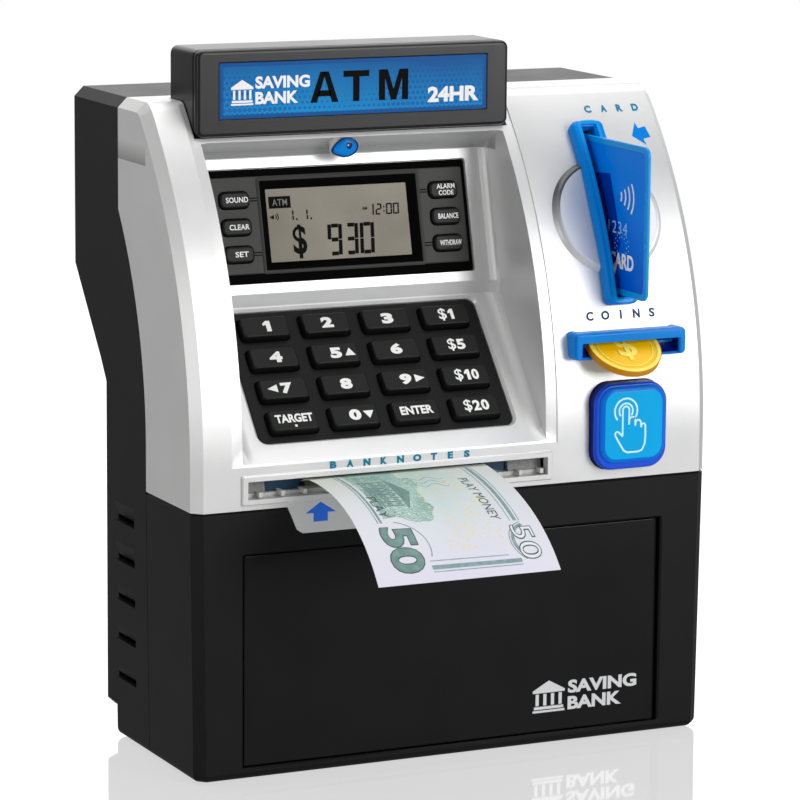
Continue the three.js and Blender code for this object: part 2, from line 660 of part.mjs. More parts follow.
function makeNoteGuide() {
  const bedTop = 95.6;
  let guide = box(-76, 33.4, 3, 9, 93, bedTop);
  guide = guide.add(box(-76, 12.6, 17.2, 34, 93, bedTop));
  for (const [x0, x1] of [[-76, -73.5], [10.1, 12.6]]) {
    guide = guide.add(box(x0, x1, 3, 34, 89, bedTop));
  }
  guide = guide.add(box(-76, -73.5, 8, 18, 89, 106));
  guide = guide.add(box(31.2, 33.4, 8, 17.8, 93, 106));
  for (let i = 0; i < 14; i += 1) {
    const x = -72 + 7.9 * i;
    guide = guide.add(box(x, x + 1.2, 0.2, 6, 94.7, noteHeight - 0.5));
  }
  guide = guide.subtract(rod('x', roller.shaft + gap, -90, 40, roller.y, roller.z, 12));
  return guide.subtract(rod('x', pinch.shaft + gap, -90, 20, pinch.y, pinch.z, 12));
}

// A roller along X: a shaft with sleeves, turned as one profile.
function makeRoller(size, from, to, shaftFrom, shaftTo, sleeve, space) {
  const points = [new THREE.Vector2(0, shaftFrom), new THREE.Vector2(size.shaft, shaftFrom)];
  for (let x = from; x + sleeve <= to; x += sleeve + space) {
    points.push(new THREE.Vector2(size.shaft, x), new THREE.Vector2(size.radius, x));
    points.push(new THREE.Vector2(size.radius, x + sleeve), new THREE.Vector2(size.shaft, x + sleeve));
  }
  points.push(new THREE.Vector2(size.shaft, shaftTo), new THREE.Vector2(0, shaftTo));
  const geometry = new THREE.LatheGeometry(points, 14);
  return solid(geometry.rotateZ(-Math.PI / 2).translate(0, size.y, size.z));
}

// A spur gear along X, its teeth slimmed for backlash. `phase` is in tooth pitches.
function makeGear(teeth, y, z, phase, bore) {
  const pitchRadius = gearModule * teeth / 2;
  const tip = pitchRadius + 0.75 * gearModule;
  const root = pitchRadius - 1.15 * gearModule;
  const pitchAngle = 2 * Math.PI / teeth;
  const outline = [];
  for (let i = 0; i < teeth; i += 1) {
    const centre = (i + phase) * pitchAngle;
    for (const [radius, part] of [[root, -0.3], [tip, -0.1], [tip, 0.1], [root, 0.3]]) {
      const angle = centre + part * pitchAngle;
      outline.push([y + radius * Math.cos(angle), z + radius * Math.sin(angle)]);
    }
  }
  const gear = prismX(outline, gearLeft, gearRight);
  return bore > 0 ? gear.subtract(rod('x', bore, gearLeft - 1, gearRight + 1, y, z, 12)) : gear;
}

function makeMotorPinion() {
  // Half a pitch of turn sets a gap of the pinion where the gear's tooth points at it.
  const gear = makeGear(pinionTeeth, motorY, roller.z, 0, 0);
  return gear.add(rod('x', 1, 30, gearRight + 1, motorY, roller.z, 12));
}

function makeFeedMotor() {
  const can = rod('x', 6.8, 15, 36.5, motorY, roller.z, 20);
  const flattened = can.intersect(box(0, 60, 0, 60, roller.z - 5.2, roller.z + 5.2));
  return flattened.add(rod('x', 3, 35, 37.6, motorY, roller.z, 12))
    .subtract(rod('x', 1.3, 28, 40, motorY, roller.z, 12));
}

function makeDoorLatch() {
  return box(bolt.left, bolt.right, bolt.front, bolt.back, bolt.bottom, bolt.top);
}

function makeLatchSolenoid() {
  const body = box(-60, -40, 4, 14, 60, 78);
  return body.subtract(box(-62, bolt.right + 1, bolt.front - 0.4, bolt.back + 0.4, bolt.bottom - 0.4, bolt.top + 0.4));
}

// An open-ended drop for the coins, with a window towards the slot.
function makeCoinChute() {
  const half = 18;
  const skin = 1.5;
  const shaft = { front: 12.8, back: 34, bottom: 90, top: 151 };
  const outer = box(accessoryX - half, accessoryX + half, shaft.front, shaft.back, shaft.bottom, shaft.top);
  const bore = box(accessoryX - half + skin, accessoryX + half - skin, shaft.front + skin,
    shaft.back - skin, shaft.bottom - 5, shaft.top - skin);
  const mouth = box(accessoryX - half + skin, accessoryX + half - skin, shaft.front - 5,
    shaft.front + 5, 130, shaft.top - skin);
  return outer.subtract(bore).subtract(mouth);
}

function makeBattery(index) {
  const pitch = 15.6;
  const z = batteryBox.bottom + 8.4 + pitch * index;
  const points = [[0, -25.2], [7.05, -25.2], [7.05, 23.6], [2.7, 23.6], [2.7, 25.2], [0, 25.2]]
    .map(([r, x]) => new THREE.Vector2(r, x));
  const geometry = new THREE.LatheGeometry(points, 16).rotateZ(index === 1 ? Math.PI / 2 : -Math.PI / 2);
  return solid(geometry.translate(0, batteryBox.front + 8, z));
}

function makeSpeaker() {
  const profile = [[0, -90.5], [13, -90.5], [14, -89.5], [14, -87.5], [7, -84.5], [7, -81.5], [0, -81.5]]
    .map(([r, x]) => new THREE.Vector2(r, x));
  return solid(new THREE.LatheGeometry(profile, 20).rotateZ(-Math.PI / 2).translate(0, 57, 48.5));
}

const powerSwitch = { x: 55, z: 190, slot: 13, knob: 6 };

function makePowerSwitch() {
  const s = powerSwitch;
  const knobLeft = s.x - s.slot / 2 + 0.5;
  return box(knobLeft, knobLeft + s.knob, rearTopY - 4.5, rearTopY + 0.8, s.z - 1.8, s.z + 1.8)
    .add(box(knobLeft - 2, knobLeft + s.knob + 2, rearTopY - 5.5, rearTopY - 3, s.z - 3.6, s.z + 3.6));
}

function makeFoot(x, y) {
  return rod('z', 6, 0, footHeight - 0.02, x, y, 16);
}

// ---- assembly ----------------------------------------------------------------------------------

const parts = new THREE.Group();

parts.add(part('front_shell', makeFrontShell(), 'silver'));
parts.add(part('lower_housing', makeLowerHousing(), 'black'));
parts.add(part('rear_cover', makeRearCover(), 'black'));
parts.add(part('sign_housing', makeSignHousing(), 'gloss'));
parts.add(part('sign_panel', makeSignPanel(), 'blue'));
parts.add(part('battery_cover', makeBatteryCover(), 'black'));
parts.add(part('battery_cover_screw', makeBatteryCoverScrew(), 'steel'));
parts.add(part('cash_door', makeCashDoor(), 'black'));

parts.add(part('display_bezel', makeDisplayBezel(), 'gloss'));
parts.add(part('lcd_screen', makeLcdScreen(), 'glass'));
parts.add(part('keypad_plate', makeKeypadPlate(), 'key'));
parts.add(part('camera_eye', inBody(eyeDisc(0, -2.5, 1.4), eyeFrame), 'blue'));
parts.add(part('card_bezel', makeCardBezel(), 'blue'));
parts.add(part('coin_bezel', makeCoinBezel(), 'blue'));
parts.add(part('touch_button', makeTouchButton(), 'blue'));
for (const place of padKeyPlaces) {
  parts.add(part(place.name, makeKey(padKey, place, keypadFrame), 'key'));
}
for (const place of functionKeyPlaces) {
  parts.add(part(place.name, makeKey(functionKey, place, displayFrame), 'key'));
}

parts.add(part('card', makeCard(), 'blue'));
parts.add(part('coin', makeCoin(), 'gold'));
parts.add(part('banknote', makeBanknote(), 'paper'));

parts.add(part('main_board', inBody(box(-44, 44, -17, 17, -11, -9.4), displayFrame), 'board'));
parts.add(part('keypad_board', inBody(box(-44, 44, -22, 22, -8.6, -7), keypadFrame), 'board'));
parts.add(part('note_guide', makeNoteGuide(), 'white'));
parts.add(part('feed_roller', makeRoller(roller, -71, 30.5, -78, 44, 13, 4.2), 'rubber'));
parts.add(part('pinch_roller', makeRoller(pinch, -71, 8, -75.5, 12, 17, 3), 'white'));
parts.add(part('roller_gear', makeGear(gearTeeth, roller.y, roller.z, 0.5, roller.shaft + gap), 'white'));
parts.add(part('motor_pinion', makeMotorPinion(), 'steel'));
parts.add(part('feed_motor', makeFeedMotor(), 'steel'));
parts.add(part('door_latch', makeDoorLatch(), 'steel'));
parts.add(part('latch_solenoid', makeLatchSolenoid(), 'steel'));
parts.add(part('coin_chute', makeCoinChute(), 'white'));
for (let i = 0; i < 3; i += 1) {
  parts.add(part(`battery_${i + 1}`, makeBattery(i), 'steel'));
}
parts.add(part('speaker', makeSpeaker(), 'black'));
parts.add(part('power_switch', makePowerSwitch(), 'gloss'));
[[-78, 12], [78, 12], [-78, 58], [78, 58]].forEach(([x, y], i) => {
  parts.add(part(`foot_${i + 1}`, makeFoot(x, y), 'rubber'));
});

// The note's free end and the switch knob are the ends of the footprint from front to back.
parts.position.y = -(note.tipY + rearTopY + 0.8) / 2;

const bank = new THREE.Group();
bank.add(parts);
export default bank;
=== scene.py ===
"""Toy cash-machine savings bank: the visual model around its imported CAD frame.

Shapes are written in millimetres in the measuring frame of the part (x to the right, y to the back
from the front face, z up from the table) and carried into the row frame when a piece is made.
"""

import math

import bmesh
import bpy
from mathutils import Matrix, Vector


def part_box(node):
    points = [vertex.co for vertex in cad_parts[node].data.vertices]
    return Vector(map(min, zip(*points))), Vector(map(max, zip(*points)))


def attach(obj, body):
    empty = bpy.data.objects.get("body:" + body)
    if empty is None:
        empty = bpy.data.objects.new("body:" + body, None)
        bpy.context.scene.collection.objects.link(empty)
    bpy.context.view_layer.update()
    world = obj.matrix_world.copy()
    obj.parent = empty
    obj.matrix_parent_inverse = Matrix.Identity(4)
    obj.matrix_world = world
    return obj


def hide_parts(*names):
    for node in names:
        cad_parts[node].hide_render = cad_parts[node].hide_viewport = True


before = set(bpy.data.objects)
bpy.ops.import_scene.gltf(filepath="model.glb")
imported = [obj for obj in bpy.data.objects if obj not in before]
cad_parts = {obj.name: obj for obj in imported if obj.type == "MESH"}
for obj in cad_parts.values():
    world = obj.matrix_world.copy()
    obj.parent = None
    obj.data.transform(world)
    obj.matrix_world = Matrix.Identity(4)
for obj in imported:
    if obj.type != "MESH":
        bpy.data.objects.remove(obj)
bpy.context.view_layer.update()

MM = 0.001
FRONT_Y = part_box("lower_housing")[0].y


def to_row(point):
    x, y, z = point
    return Vector((x * MM, FRONT_Y + y * MM, z * MM))


# ---- camera, floor and light -------------------------------------------------------------------

CAMERA_PLACE = (-577.98, -1160.81, 356.59)
CAMERA_YAW = math.radians(25.602)
CAMERA_PITCH = math.radians(10.268)
CAMERA_ROLL = math.radians(0.489)
CAMERA_LENS, SENSOR_WIDTH = 179.19, 36
FLOOR_HALF = 6
FLOOR_GLOW, WORLD_GLOW = 0.62, 0.22
FADE_START, FADE_END = 0.45, 1.4
LIGHTS = {
    "top": {"place": (0.1, 0.7, 2.0), "target": (0, 0.5, 0), "size": (2.6, 2.6), "power": 50},
    "key": {"place": (0.85, -1.5, 0.62), "target": (0, 0, 0.12), "size": (0.8, 1.15), "power": 17},
    "left_card": {"place": (-1.6, -0.75, 0.4), "target": (0, 0, 0.12), "size": (0.5, 1.0), "power": 4.4},
    "back_card": {"place": (1.0, 1.9, 0.62), "target": (1.0, 0, 0.62), "size": (2.6, 1.24), "power": 13},
}


def make_camera():
    data = bpy.data.cameras.new("camera")
    data.sensor_width = SENSOR_WIDTH
    data.lens = CAMERA_LENS
    data.clip_end = 20
    camera = bpy.data.objects.new("camera", data)
    bpy.context.scene.collection.objects.link(camera)
    ahead = Vector((
        math.sin(CAMERA_YAW) * math.cos(CAMERA_PITCH),
        math.cos(CAMERA_YAW) * math.cos(CAMERA_PITCH),
        -math.sin(CAMERA_PITCH),
    ))
    level = Vector((math.cos(CAMERA_YAW), -math.sin(CAMERA_YAW), 0))
    upright = level.cross(ahead)
    right = level * math.cos(CAMERA_ROLL) + upright * math.sin(CAMERA_ROLL)
    up = upright * math.cos(CAMERA_ROLL) - level * math.sin(CAMERA_ROLL)
    turn = Matrix((right, up, -ahead)).transposed()
    camera.matrix_world = Matrix.Translation(to_row(CAMERA_PLACE)) @ turn.to_4x4()
    bpy.context.scene.camera = camera


def area_light(name, place, target, size, power):
    data = bpy.data.lights.new(name, "AREA")
    data.shape = "RECTANGLE"
    data.size, data.size_y = size
    data.energy = power
    light = bpy.data.objects.new(name, data)
    light.location = place
    light.rotation_euler = (Vector(target) - Vector(place)).to_track_quat("-Z", "Y").to_euler()
    bpy.context.scene.collection.objects.link(light)


def fade_floor(graph):
    """Away from the object the floor turns as white as the background, for the camera only."""
    distance = graph.node("ShaderNodeVectorMath", operation="LENGTH")
    graph.link(graph.place(), distance.inputs[0])
    fade = graph.node("ShaderNodeMapRange", interpolation_type="SMOOTHSTEP")
    fade.inputs["From Min"].default_value = FADE_START
    fade.inputs["From Max"].default_value = FADE_END
    graph.link(distance.outputs["Value"], fade.inputs["Value"])
    rays = graph.node("ShaderNodeLightPath")
    white = graph.node("ShaderNodeEmission")
    blend = graph.node("ShaderNodeMixShader")
    share = graph.math("MULTIPLY", fade.outputs["Result"], rays.outputs["Is Camera Ray"])
    graph.link(share, blend.inputs[0])
    graph.link(graph.shader.outputs["BSDF"], blend.inputs[1])
    graph.link(white.outputs["Emission"], blend.inputs[2])
    graph.link(blend.outputs["Shader"], graph.nodes["Material Output"].inputs["Surface"])


def make_stage():
    """A glossy pale floor, a white world and four area lights."""
    mesh = bpy.data.meshes.new("floor")
    half = FLOOR_HALF
    mesh.from_pydata([(-half, -half, 0), (half, -half, 0), (half, half, 0), (-half, half, 0)], [],
                     [(0, 1, 2, 3)])
    floor = bpy.data.objects.new("floor", mesh)
    bpy.context.scene.collection.objects.link(floor)
    look = plain_look("floor", (0.12, 0.12, 0.12), 0.05)
    graph = Graph(look)
    graph.shader.inputs["Emission Color"].default_value = (1, 1, 1, 1)
    graph.shader.inputs["Emission Strength"].default_value = FLOOR_GLOW
    graph.shader.inputs["IOR"].default_value = 2.1
    fade_floor(graph)
    mesh.materials.append(look)
    floor.visible_glossy = False
    world = bpy.data.worlds.new("studio")
    world.use_nodes = True
    tree = world.node_tree
    background = tree.nodes["Background"]
    background.inputs["Color"].default_value = (1, 1, 1, 1)
    rays = tree.nodes.new("ShaderNodeLightPath")
    level = tree.nodes.new("ShaderNodeMapRange")
    level.inputs["To Min"].default_value = WORLD_GLOW
    tree.links.new(rays.outputs["Is Camera Ray"], level.inputs["Value"])
    tree.links.new(level.outputs["Result"], background.inputs["Strength"])
    bpy.context.scene.world = world
    for name, light in LIGHTS.items():
        area_light(name, **light)
    bpy.context.scene.view_settings.view_transform = "Standard"


# ---- materials ---------------------------------------------------------------------------------

def plain_look(name, colour, roughness, metallic=0.0, specular=0.5):
    look = bpy.data.materials.new(name)
    look.use_nodes = True
    shader = look.node_tree.nodes["Principled BSDF"]
    shader.inputs["Base Color"].default_value = (*colour, 1)
    shader.inputs["Roughness"].default_value = roughness
    shader.inputs["Metallic"].default_value = metallic
    shader.inputs["Specular IOR Level"].default_value = specular
    return look


class Graph:
    """Short names for making the nodes of one material."""

    def __init__(self, look):
        self.nodes = look.node_tree.nodes
        self.links = look.node_tree.links
        self.shader = self.nodes["Principled BSDF"]

    def node(self, kind, **settings):
        made = self.nodes.new(kind)
        for name, value in settings.items():
            setattr(made, name, value)
        return made

    def link(self, source, target):
        self.links.new(source, target)

    def place(self):
        return self.node("ShaderNodeTexCoord").outputs["Object"]

    def axes(self):
        made = self.node("ShaderNodeSeparateXYZ")
        self.link(self.place(), made.inputs["Vector"])
        return made.outputs

    def colour(self, source):
        self.link(source, self.shader.inputs["Base Color"])

    def noise(self, scale, detail=3.0, stretch=(1, 1, 1)):
        mapping = self.node("ShaderNodeMapping")
        mapping.inputs["Scale"].default_value = stretch
        self.link(self.place(), mapping.inputs["Vector"])
        texture = self.node("ShaderNodeTexNoise")
        texture.inputs["Scale"].default_value = scale
        texture.inputs["Detail"].default_value = detail
        self.link(mapping.outputs["Vector"], texture.inputs["Vector"])
        return texture.outputs["Fac"]

    def ramp(self, factor, stops):
        made = self.node("ShaderNodeValToRGB")
        elements = made.color_ramp.elements
        while len(elements) < len(stops):
            elements.new(0.5)
        for element, (position, colour) in zip(elements, stops):
            element.position = position
            element.color = (*colour, 1)
        self.link(factor, made.inputs["Fac"])
        return made.outputs["Color"]

    def math(self, operation, first, second=None, third=None):
        made = self.node("ShaderNodeMath", operation=operation)
        for socket, value in zip(made.inputs, (first, second, third)):
            if value is None:
                continue
            if isinstance(value, (int, float)):
                socket.default_value = value
            else:
                self.link(value, socket)
        return made.outputs["Value"]

    def mix(self, factor, first, second):
        made = self.node("ShaderNodeMix", data_type="RGBA")
        for socket, value in zip((made.inputs["Factor"], made.inputs[6], made.inputs[7]),
                                 (factor, first, second)):
            if isinstance(value, tuple):
                socket.default_value = (*value, 1)
            elif isinstance(value, (int, float)):
                socket.default_value = value
            else:
                self.link(value, socket)
        return made.outputs[2]

    def bump(self, height, distance):
        made = self.node("ShaderNodeBump")
        made.inputs["Distance"].default_value = distance
        made.inputs["Strength"].default_value = 1
        self.link(height, made.inputs["Height"])
        self.link(made.outputs["Normal"], self.shader.inputs["Normal"])


def shade(colour, amount):
    return tuple(min(1.0, c * amount) for c in colour)


def plastic(name, colour, roughness, *, metallic=0.0, specular=0.5, mottle=0.05, grain=2600.0,
            grain_depth=0.00002, cloud=45.0):
    """A moulded or painted surface: slow colour and gloss variation, and a fine grain in relief."""
    look = plain_look(name, colour, roughness, metallic, specular)
    graph = Graph(look)
    slow = graph.noise(cloud, 4.0)
    fine = graph.noise(grain, 2.0)
    both = graph.math("MULTIPLY_ADD", fine, 0.4, graph.math("MULTIPLY", slow, 0.6))
    graph.colour(graph.ramp(both, [(0.3, shade(colour, 1 - mottle)), (0.7, shade(colour, 1 + mottle))]))
    gloss = graph.math("MULTIPLY_ADD", slow, 2 * GLOSS_SPREAD, roughness - GLOSS_SPREAD)
    graph.link(gloss, graph.shader.inputs["Roughness"])
    graph.bump(fine, grain_depth)
    return look


def silver_paint(name):
    return plastic(name, (0.745, 0.745, 0.742), 0.36, metallic=0.45, mottle=0.035, grain=3600.0,
                   grain_depth=0.000012)


def brushed(name, colour, roughness, stretch):
    look = plain_look(name, colour, roughness, 1.0)
    graph = Graph(look)
    lines = graph.noise(1800.0, 3.0, stretch)
    graph.colour(graph.ramp(lines, [(0.3, shade(colour, 0.85)), (0.7, shade(colour, 1.1))]))
    graph.bump(lines, 0.00002)
    return look


GLOSS_SPREAD = 0.05
silver = silver_paint("silver")
cheek_grey = plastic("cheek_grey", (0.24, 0.24, 0.24), 0.5, specular=0.2, mottle=0.35, cloud=700.0)
black = plastic("black", (0.005, 0.005, 0.0052), 0.42, specular=0.22, mottle=0.12, grain_depth=0.00003)
door_black = plastic("door_black", (0.0045, 0.0045, 0.0048), 0.34, specular=0.22, mottle=0.1,
                     grain_depth=0.000015)
sign_black = plastic("sign_black", (0.009, 0.0088, 0.0088), 0.3, specular=0.4, mottle=0.1,
                     grain_depth=0.00001)
pad_black = plastic("pad_black", (0.005, 0.005, 0.0053), 0.5, specular=0.2, mottle=0.15)
key_black = plastic("key_black", (0.007, 0.007, 0.0073), 0.42, specular=0.22, mottle=0.15)
legend_white = plastic("legend_white", (0.86, 0.86, 0.84), 0.5, mottle=0.02)
legend_grey = plastic("legend_grey", (0.62, 0.62, 0.63), 0.45, mottle=0.03)
bezel_grey = plastic("bezel_grey", (0.055, 0.055, 0.053), 0.4, specular=0.12, mottle=0.08)
bezel_black = plastic("bezel_black", (0.0035, 0.0035, 0.0035), 0.5, specular=0.0, mottle=0.1)
blue = plastic("blue", (0.0, 0.21, 0.68), 0.26, specular=0.14, mottle=0.04, grain_depth=0.000006)
blue_cap = plastic("blue_cap", (0.0, 0.38, 0.78), 0.3, specular=0.1, mottle=0.05, grain_depth=0.000006)
blue_edge = plastic("blue_edge", (0.0, 0.15, 0.68), 0.3, specular=0.15, mottle=0.05)
# Dark navy used as painted shade: the touch button frame's side wall and the sleeve in the coin hole.
blue_painted_shade = plastic("blue_painted_shade", (0.0, 0.008, 0.16), 0.35, specular=0.12, mottle=0.1)
icon_white = plastic("icon_white", (0.56, 0.90, 0.92), 0.45, mottle=0.02)
# Lighter blue: the card's rim, and the painted highlight on the card bezel's lip.
blue_light = plastic("blue_light", (0.0, 0.30, 0.78), 0.26, specular=0.2, mottle=0.03)
blue_deep = plastic("blue_deep", (0.0, 0.07, 0.66), 0.3, specular=0.3, mottle=0.05)
blue_print = plastic("blue_print", (0.0, 0.21, 0.35), 0.45, specular=0.15, mottle=0.03)
ink_navy = plastic("ink_navy", (0.006, 0.045, 0.10), 0.45, specular=0.2, mottle=0.05)
blue_arrow = plastic("blue_arrow", (0.0, 0.13, 0.75), 0.45, mottle=0.03)
ink_black = plastic("ink_black", (0.006, 0.006, 0.0055), 0.5, specular=0.02, mottle=0.1)
sleeve_blue = plastic("sleeve_blue", (0.0, 0.06, 0.22), 0.45, specular=0.2, mottle=0.15)
gold = plastic("gold", (1.0, 0.56, 0.0), 0.36, specular=0.25, mottle=0.05)
# Darker and paler copies of gold: painted shade on the coin's edge and painted highlight on its raised
# relief.
gold_painted_shade = plastic("gold_painted_shade", (0.55, 0.22, 0.0), 0.35, specular=0.25, mottle=0.05)
gold_painted_highlight = plastic("gold_painted_highlight", (1.0, 0.78, 0.12), 0.34, specular=0.3, mottle=0.04)
white_plastic = plastic("white_plastic", (0.62, 0.62, 0.60), 0.45, mottle=0.04)
steel = brushed("steel", (0.55, 0.56, 0.58), 0.3, (0.15, 1, 1))
battery_wrap = plastic("battery_wrap", (0.10, 0.10, 0.12), 0.25, metallic=0.3, mottle=0.2)
foot_foam = plastic("foot_foam", (0.02, 0.02, 0.02), 0.9, mottle=0.3, grain=1500.0, grain_depth=0.0001)
board_green = plastic("board_green", (0.01, 0.12, 0.04), 0.35, mottle=0.2, grain=500.0)
navy = plastic("navy", (0.003, 0.02, 0.12), 0.2, mottle=0.1)
card_pale = plastic("card_pale", (0.25, 0.5, 0.85), 0.35, mottle=0.04)
card_shade = plastic("card_shade", (0.0, 0.035, 0.36), 0.25, specular=0.2, mottle=0.15)
lcd_pale = plastic("lcd_pale", (0.2, 0.19, 0.16), 0.4, specular=0.15, mottle=0.05)
note_green = plastic("note_green", (0.16, 0.27, 0.25), 0.8, mottle=0.3, cloud=400.0)
note_ink = plastic("note_ink", (0.05, 0.10, 0.10), 0.8, mottle=0.25, cloud=400.0)
note_line = plastic("note_line", (0.22, 0.33, 0.34), 0.8, mottle=0.3, cloud=500.0)
note_pale = plastic("note_pale", (0.74, 0.75, 0.78), 0.8, mottle=0.05)


# ---- mesh helpers ------------------------------------------------------------------------------

def loft(rings, closed=False):
    """Skins a row of point rings of equal length. It is capped, or closed into a loop."""
    bm = bmesh.new()
    rows = [[bm.verts.new(point) for point in ring] for ring in rings]
    count = len(rows[0])
    pairs = list(zip(rows, rows[1:]))
    if closed:
        pairs.append((rows[-1], rows[0]))
    for first, second in pairs:
        for i in range(count):
            j = (i + 1) % count
            bm.faces.new((first[i], first[j], second[j], second[i]))
    if not closed:
        bm.faces.new(rows[0])
        bm.faces.new(list(reversed(rows[-1])))
    bmesh.ops.recalc_face_normals(bm, faces=bm.faces)
    return bm


def block(x0, x1, y0, y1, z0, z1):
    return loft([[(x, y0, z0), (x, y1, z0), (x, y1, z1), (x, y0, z1)] for x in (x0, x1)])


def prism_x(outline, x0, x1):
    return loft([[(x, y, z) for y, z in outline] for x in (x0, x1)])


def prism_y(outline, y0, y1):
    return loft([[(x, y, z) for x, z in outline] for y in (y0, y1)])


def turned(axis, profile, centre, sides=32):
    """A solid of revolution. `profile` is a row of (distance along the axis, radius), ends included."""
    rings = []
    for along, radius in profile:
        ring = []
        for i in range(sides):
            angle = math.tau * i / sides
            a = centre[0] + radius * math.cos(angle)
            b = centre[1] + radius * math.sin(angle)
            ring.append({"x": (along, a, b), "y": (a, along, b), "z": (a, b, along)}[axis])
        rings.append(ring)
    return loft(rings)


def join(first, *others):
    """Puts separate closed shells in one mesh."""
    for other in others:
        mesh = bpy.data.meshes.new("joining")
        other.to_mesh(mesh)
        other.free()
        first.from_mesh(mesh)
        bpy.data.meshes.remove(mesh)
    return first


def temporary(bm):
    mesh = bpy.data.meshes.new("temporary")
    bm.to_mesh(mesh)
    bm.free()
    made = bpy.data.objects.new("temporary", mesh)
    bpy.context.scene.collection.objects.link(made)
    return made


def carve(base, steps):
    """Applies boolean steps (operation, mesh) in order."""
    target = temporary(base)
    cutters = []
    for operation, bm in steps:
        cutter = temporary(bm)
        cutters.append(cutter)
        modifier = target.modifiers.new("step", "BOOLEAN")
        modifier.operation = operation
        modifier.object = cutter
        modifier.solver = "EXACT"
    result = bmesh.new()
    result.from_object(target, bpy.context.evaluated_depsgraph_get())
    for made in (target, *cutters):
        mesh = made.data
        bpy.data.objects.remove(made)
        bpy.data.meshes.remove(mesh)
    bmesh.ops.remove_doubles(result, verts=result.verts, dist=0.01)
    return result


def cut(base, *tools):
    return carve(base, [("DIFFERENCE", tool) for tool in tools])


def piece(name, parts, body, replaces=(), crease=32):
    """Joins (mesh, material) parts into one object that rides on a CAD body."""
    joined = bmesh.new()
    looks = []
    for bm, look in parts:
        if look not in looks:
            looks.append(look)
        for face in bm.faces:
            face.material_index = looks.index(look)
        join(joined, bm)
    for vertex in joined.verts:
        vertex.co = to_row(vertex.co)
    mesh = bpy.data.meshes.new(name)
    joined.to_mesh(mesh)
    joined.free()
    for look in looks:
        mesh.materials.append(look)
    mesh.shade_smooth()
    made = bpy.data.objects.new(name, mesh)
    bpy.context.scene.collection.objects.link(made)
    mesh.set_sharp_from_angle(angle=math.radians(crease))
    weight = made.modifiers.new("weight", "WEIGHTED_NORMAL")
    weight.keep_sharp = True
    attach(made, body)
    if replaces:
        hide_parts(*replaces)


def rounded(width, height, radius, steps=6):
    """Outline of a rounded rectangle round the origin."""
    points = []
    for sx, sy, start in ((1, 1, 0), (-1, 1, 90), (-1, -1, 180), (1, -1, 270)):
        for i in range(steps + 1):
            angle = math.radians(start + 90 * i / steps)
            points.append((
                sx * (width / 2 - radius) + radius * math.cos(angle),
                sy * (height / 2 - radius) + radius * math.sin(angle),
            ))
    return points


def sloped(x, y, z, tilt):
    """A frame on the front: u to the right, v up the slope, w out of the surface."""
    lean = math.radians(tilt)
    rise, run = math.cos(lean), math.sin(lean)

    def carry(u, v, w):
        return (x + u, y + v * run - w * rise, z + v * rise + w * run)
    return carry


def slab(width, height, radius, levels, carry, steps=6, centre=(0, 0)):
    """A rounded plate. `levels` is a row of (inset, height over the frame's plane)."""
    rings = []
    for inset, lift in levels:
        outline = rounded(width - 2 * inset, height - 2 * inset, max(radius - inset, 0.05), steps)
        rings.append([carry(centre[0] + u, centre[1] + v, lift) for u, v in outline])
    return loft(rings)


def stack(levels, carry, closed=False, steps=6, centre=(0, 0)):
    """Rounded rectangles (width, height, radius, lift) skinned in order."""
    rings = []
    for width, height, radius, lift in levels:
        outline = rounded(width, height, radius, steps)
        rings.append([carry(centre[0] + u, centre[1] + v, lift) for u, v in outline])
    return loft(rings, closed)


def plug(width, height, radius, low, high, carry, steps=6, centre=(0, 0)):
    """A straight rounded block between two heights."""
    return stack([(width, height, radius, low), (width, height, radius, high)], carry, False, steps, centre)


def glyphs(text, width, height, weight=0.0, gap=1.0):
    """Letters of the built-in font as (u, v) shapes of the asked size, centred on the origin."""
    curve = bpy.data.curves.new("letters", "FONT")
    curve.body = text
    curve.resolution_u = 4
    curve.offset = weight
    curve.space_character = gap
    curve.extrude = 0.5
    made = bpy.data.objects.new("letters", curve)
    bpy.context.scene.collection.objects.link(made)
    evaluated = made.evaluated_get(bpy.context.evaluated_depsgraph_get())
    mesh = bpy.data.meshes.new_from_object(evaluated)
    bm = bmesh.new()
    bm.from_mesh(mesh)
    bpy.data.objects.remove(made)
    bpy.data.meshes.remove(mesh)
    bmesh.ops.remove_doubles(bm, verts=bm.verts, dist=0.0004)
    us = [v.co.x for v in bm.verts]
    vs = [v.co.y for v in bm.verts]
    middle = ((min(us) + max(us)) / 2, (min(vs) + max(vs)) / 2)
    scale = (width / (max(us) - min(us)), height / (max(vs) - min(vs)))
    for vertex in bm.verts:
        vertex.co.x = (vertex.co.x - middle[0]) * scale[0]
        vertex.co.y = (vertex.co.y - middle[1]) * scale[1]
    return bm


def settle(bm, carry, low, high, centre=(0, 0), turn=0.0):
    """Carries a flat shape of unit thickness on to a surface, from height `low` to `high`."""
    cos, sin = math.cos(math.radians(turn)), math.sin(math.radians(turn))
    for vertex in bm.verts:
        u, v, w = vertex.co
        lift = low + (w + 0.5) * (high - low)
        vertex.co = carry(centre[0] + u * cos - v * sin, centre[1] + u * sin + v * cos, lift)
    bmesh.ops.recalc_face_normals(bm, faces=bm.faces)
    return bm


def legend(text, width, height, carry, low, high, centre=(0, 0), weight=0.0, gap=1.0, turn=0.0):
    return settle(glyphs(text, width, height, weight, gap), carry, low, high, centre, turn)


def rect(u0, v0, u1, v1):
    return [(u0, v0), (u1, v0), (u1, v1), (u0, v1)]


def cutout(points):
    """A flat polygon as a shape of unit thickness, for settle()."""
    return loft([[(u, v, w) for u, v in points] for w in (-0.5, 0.5)])


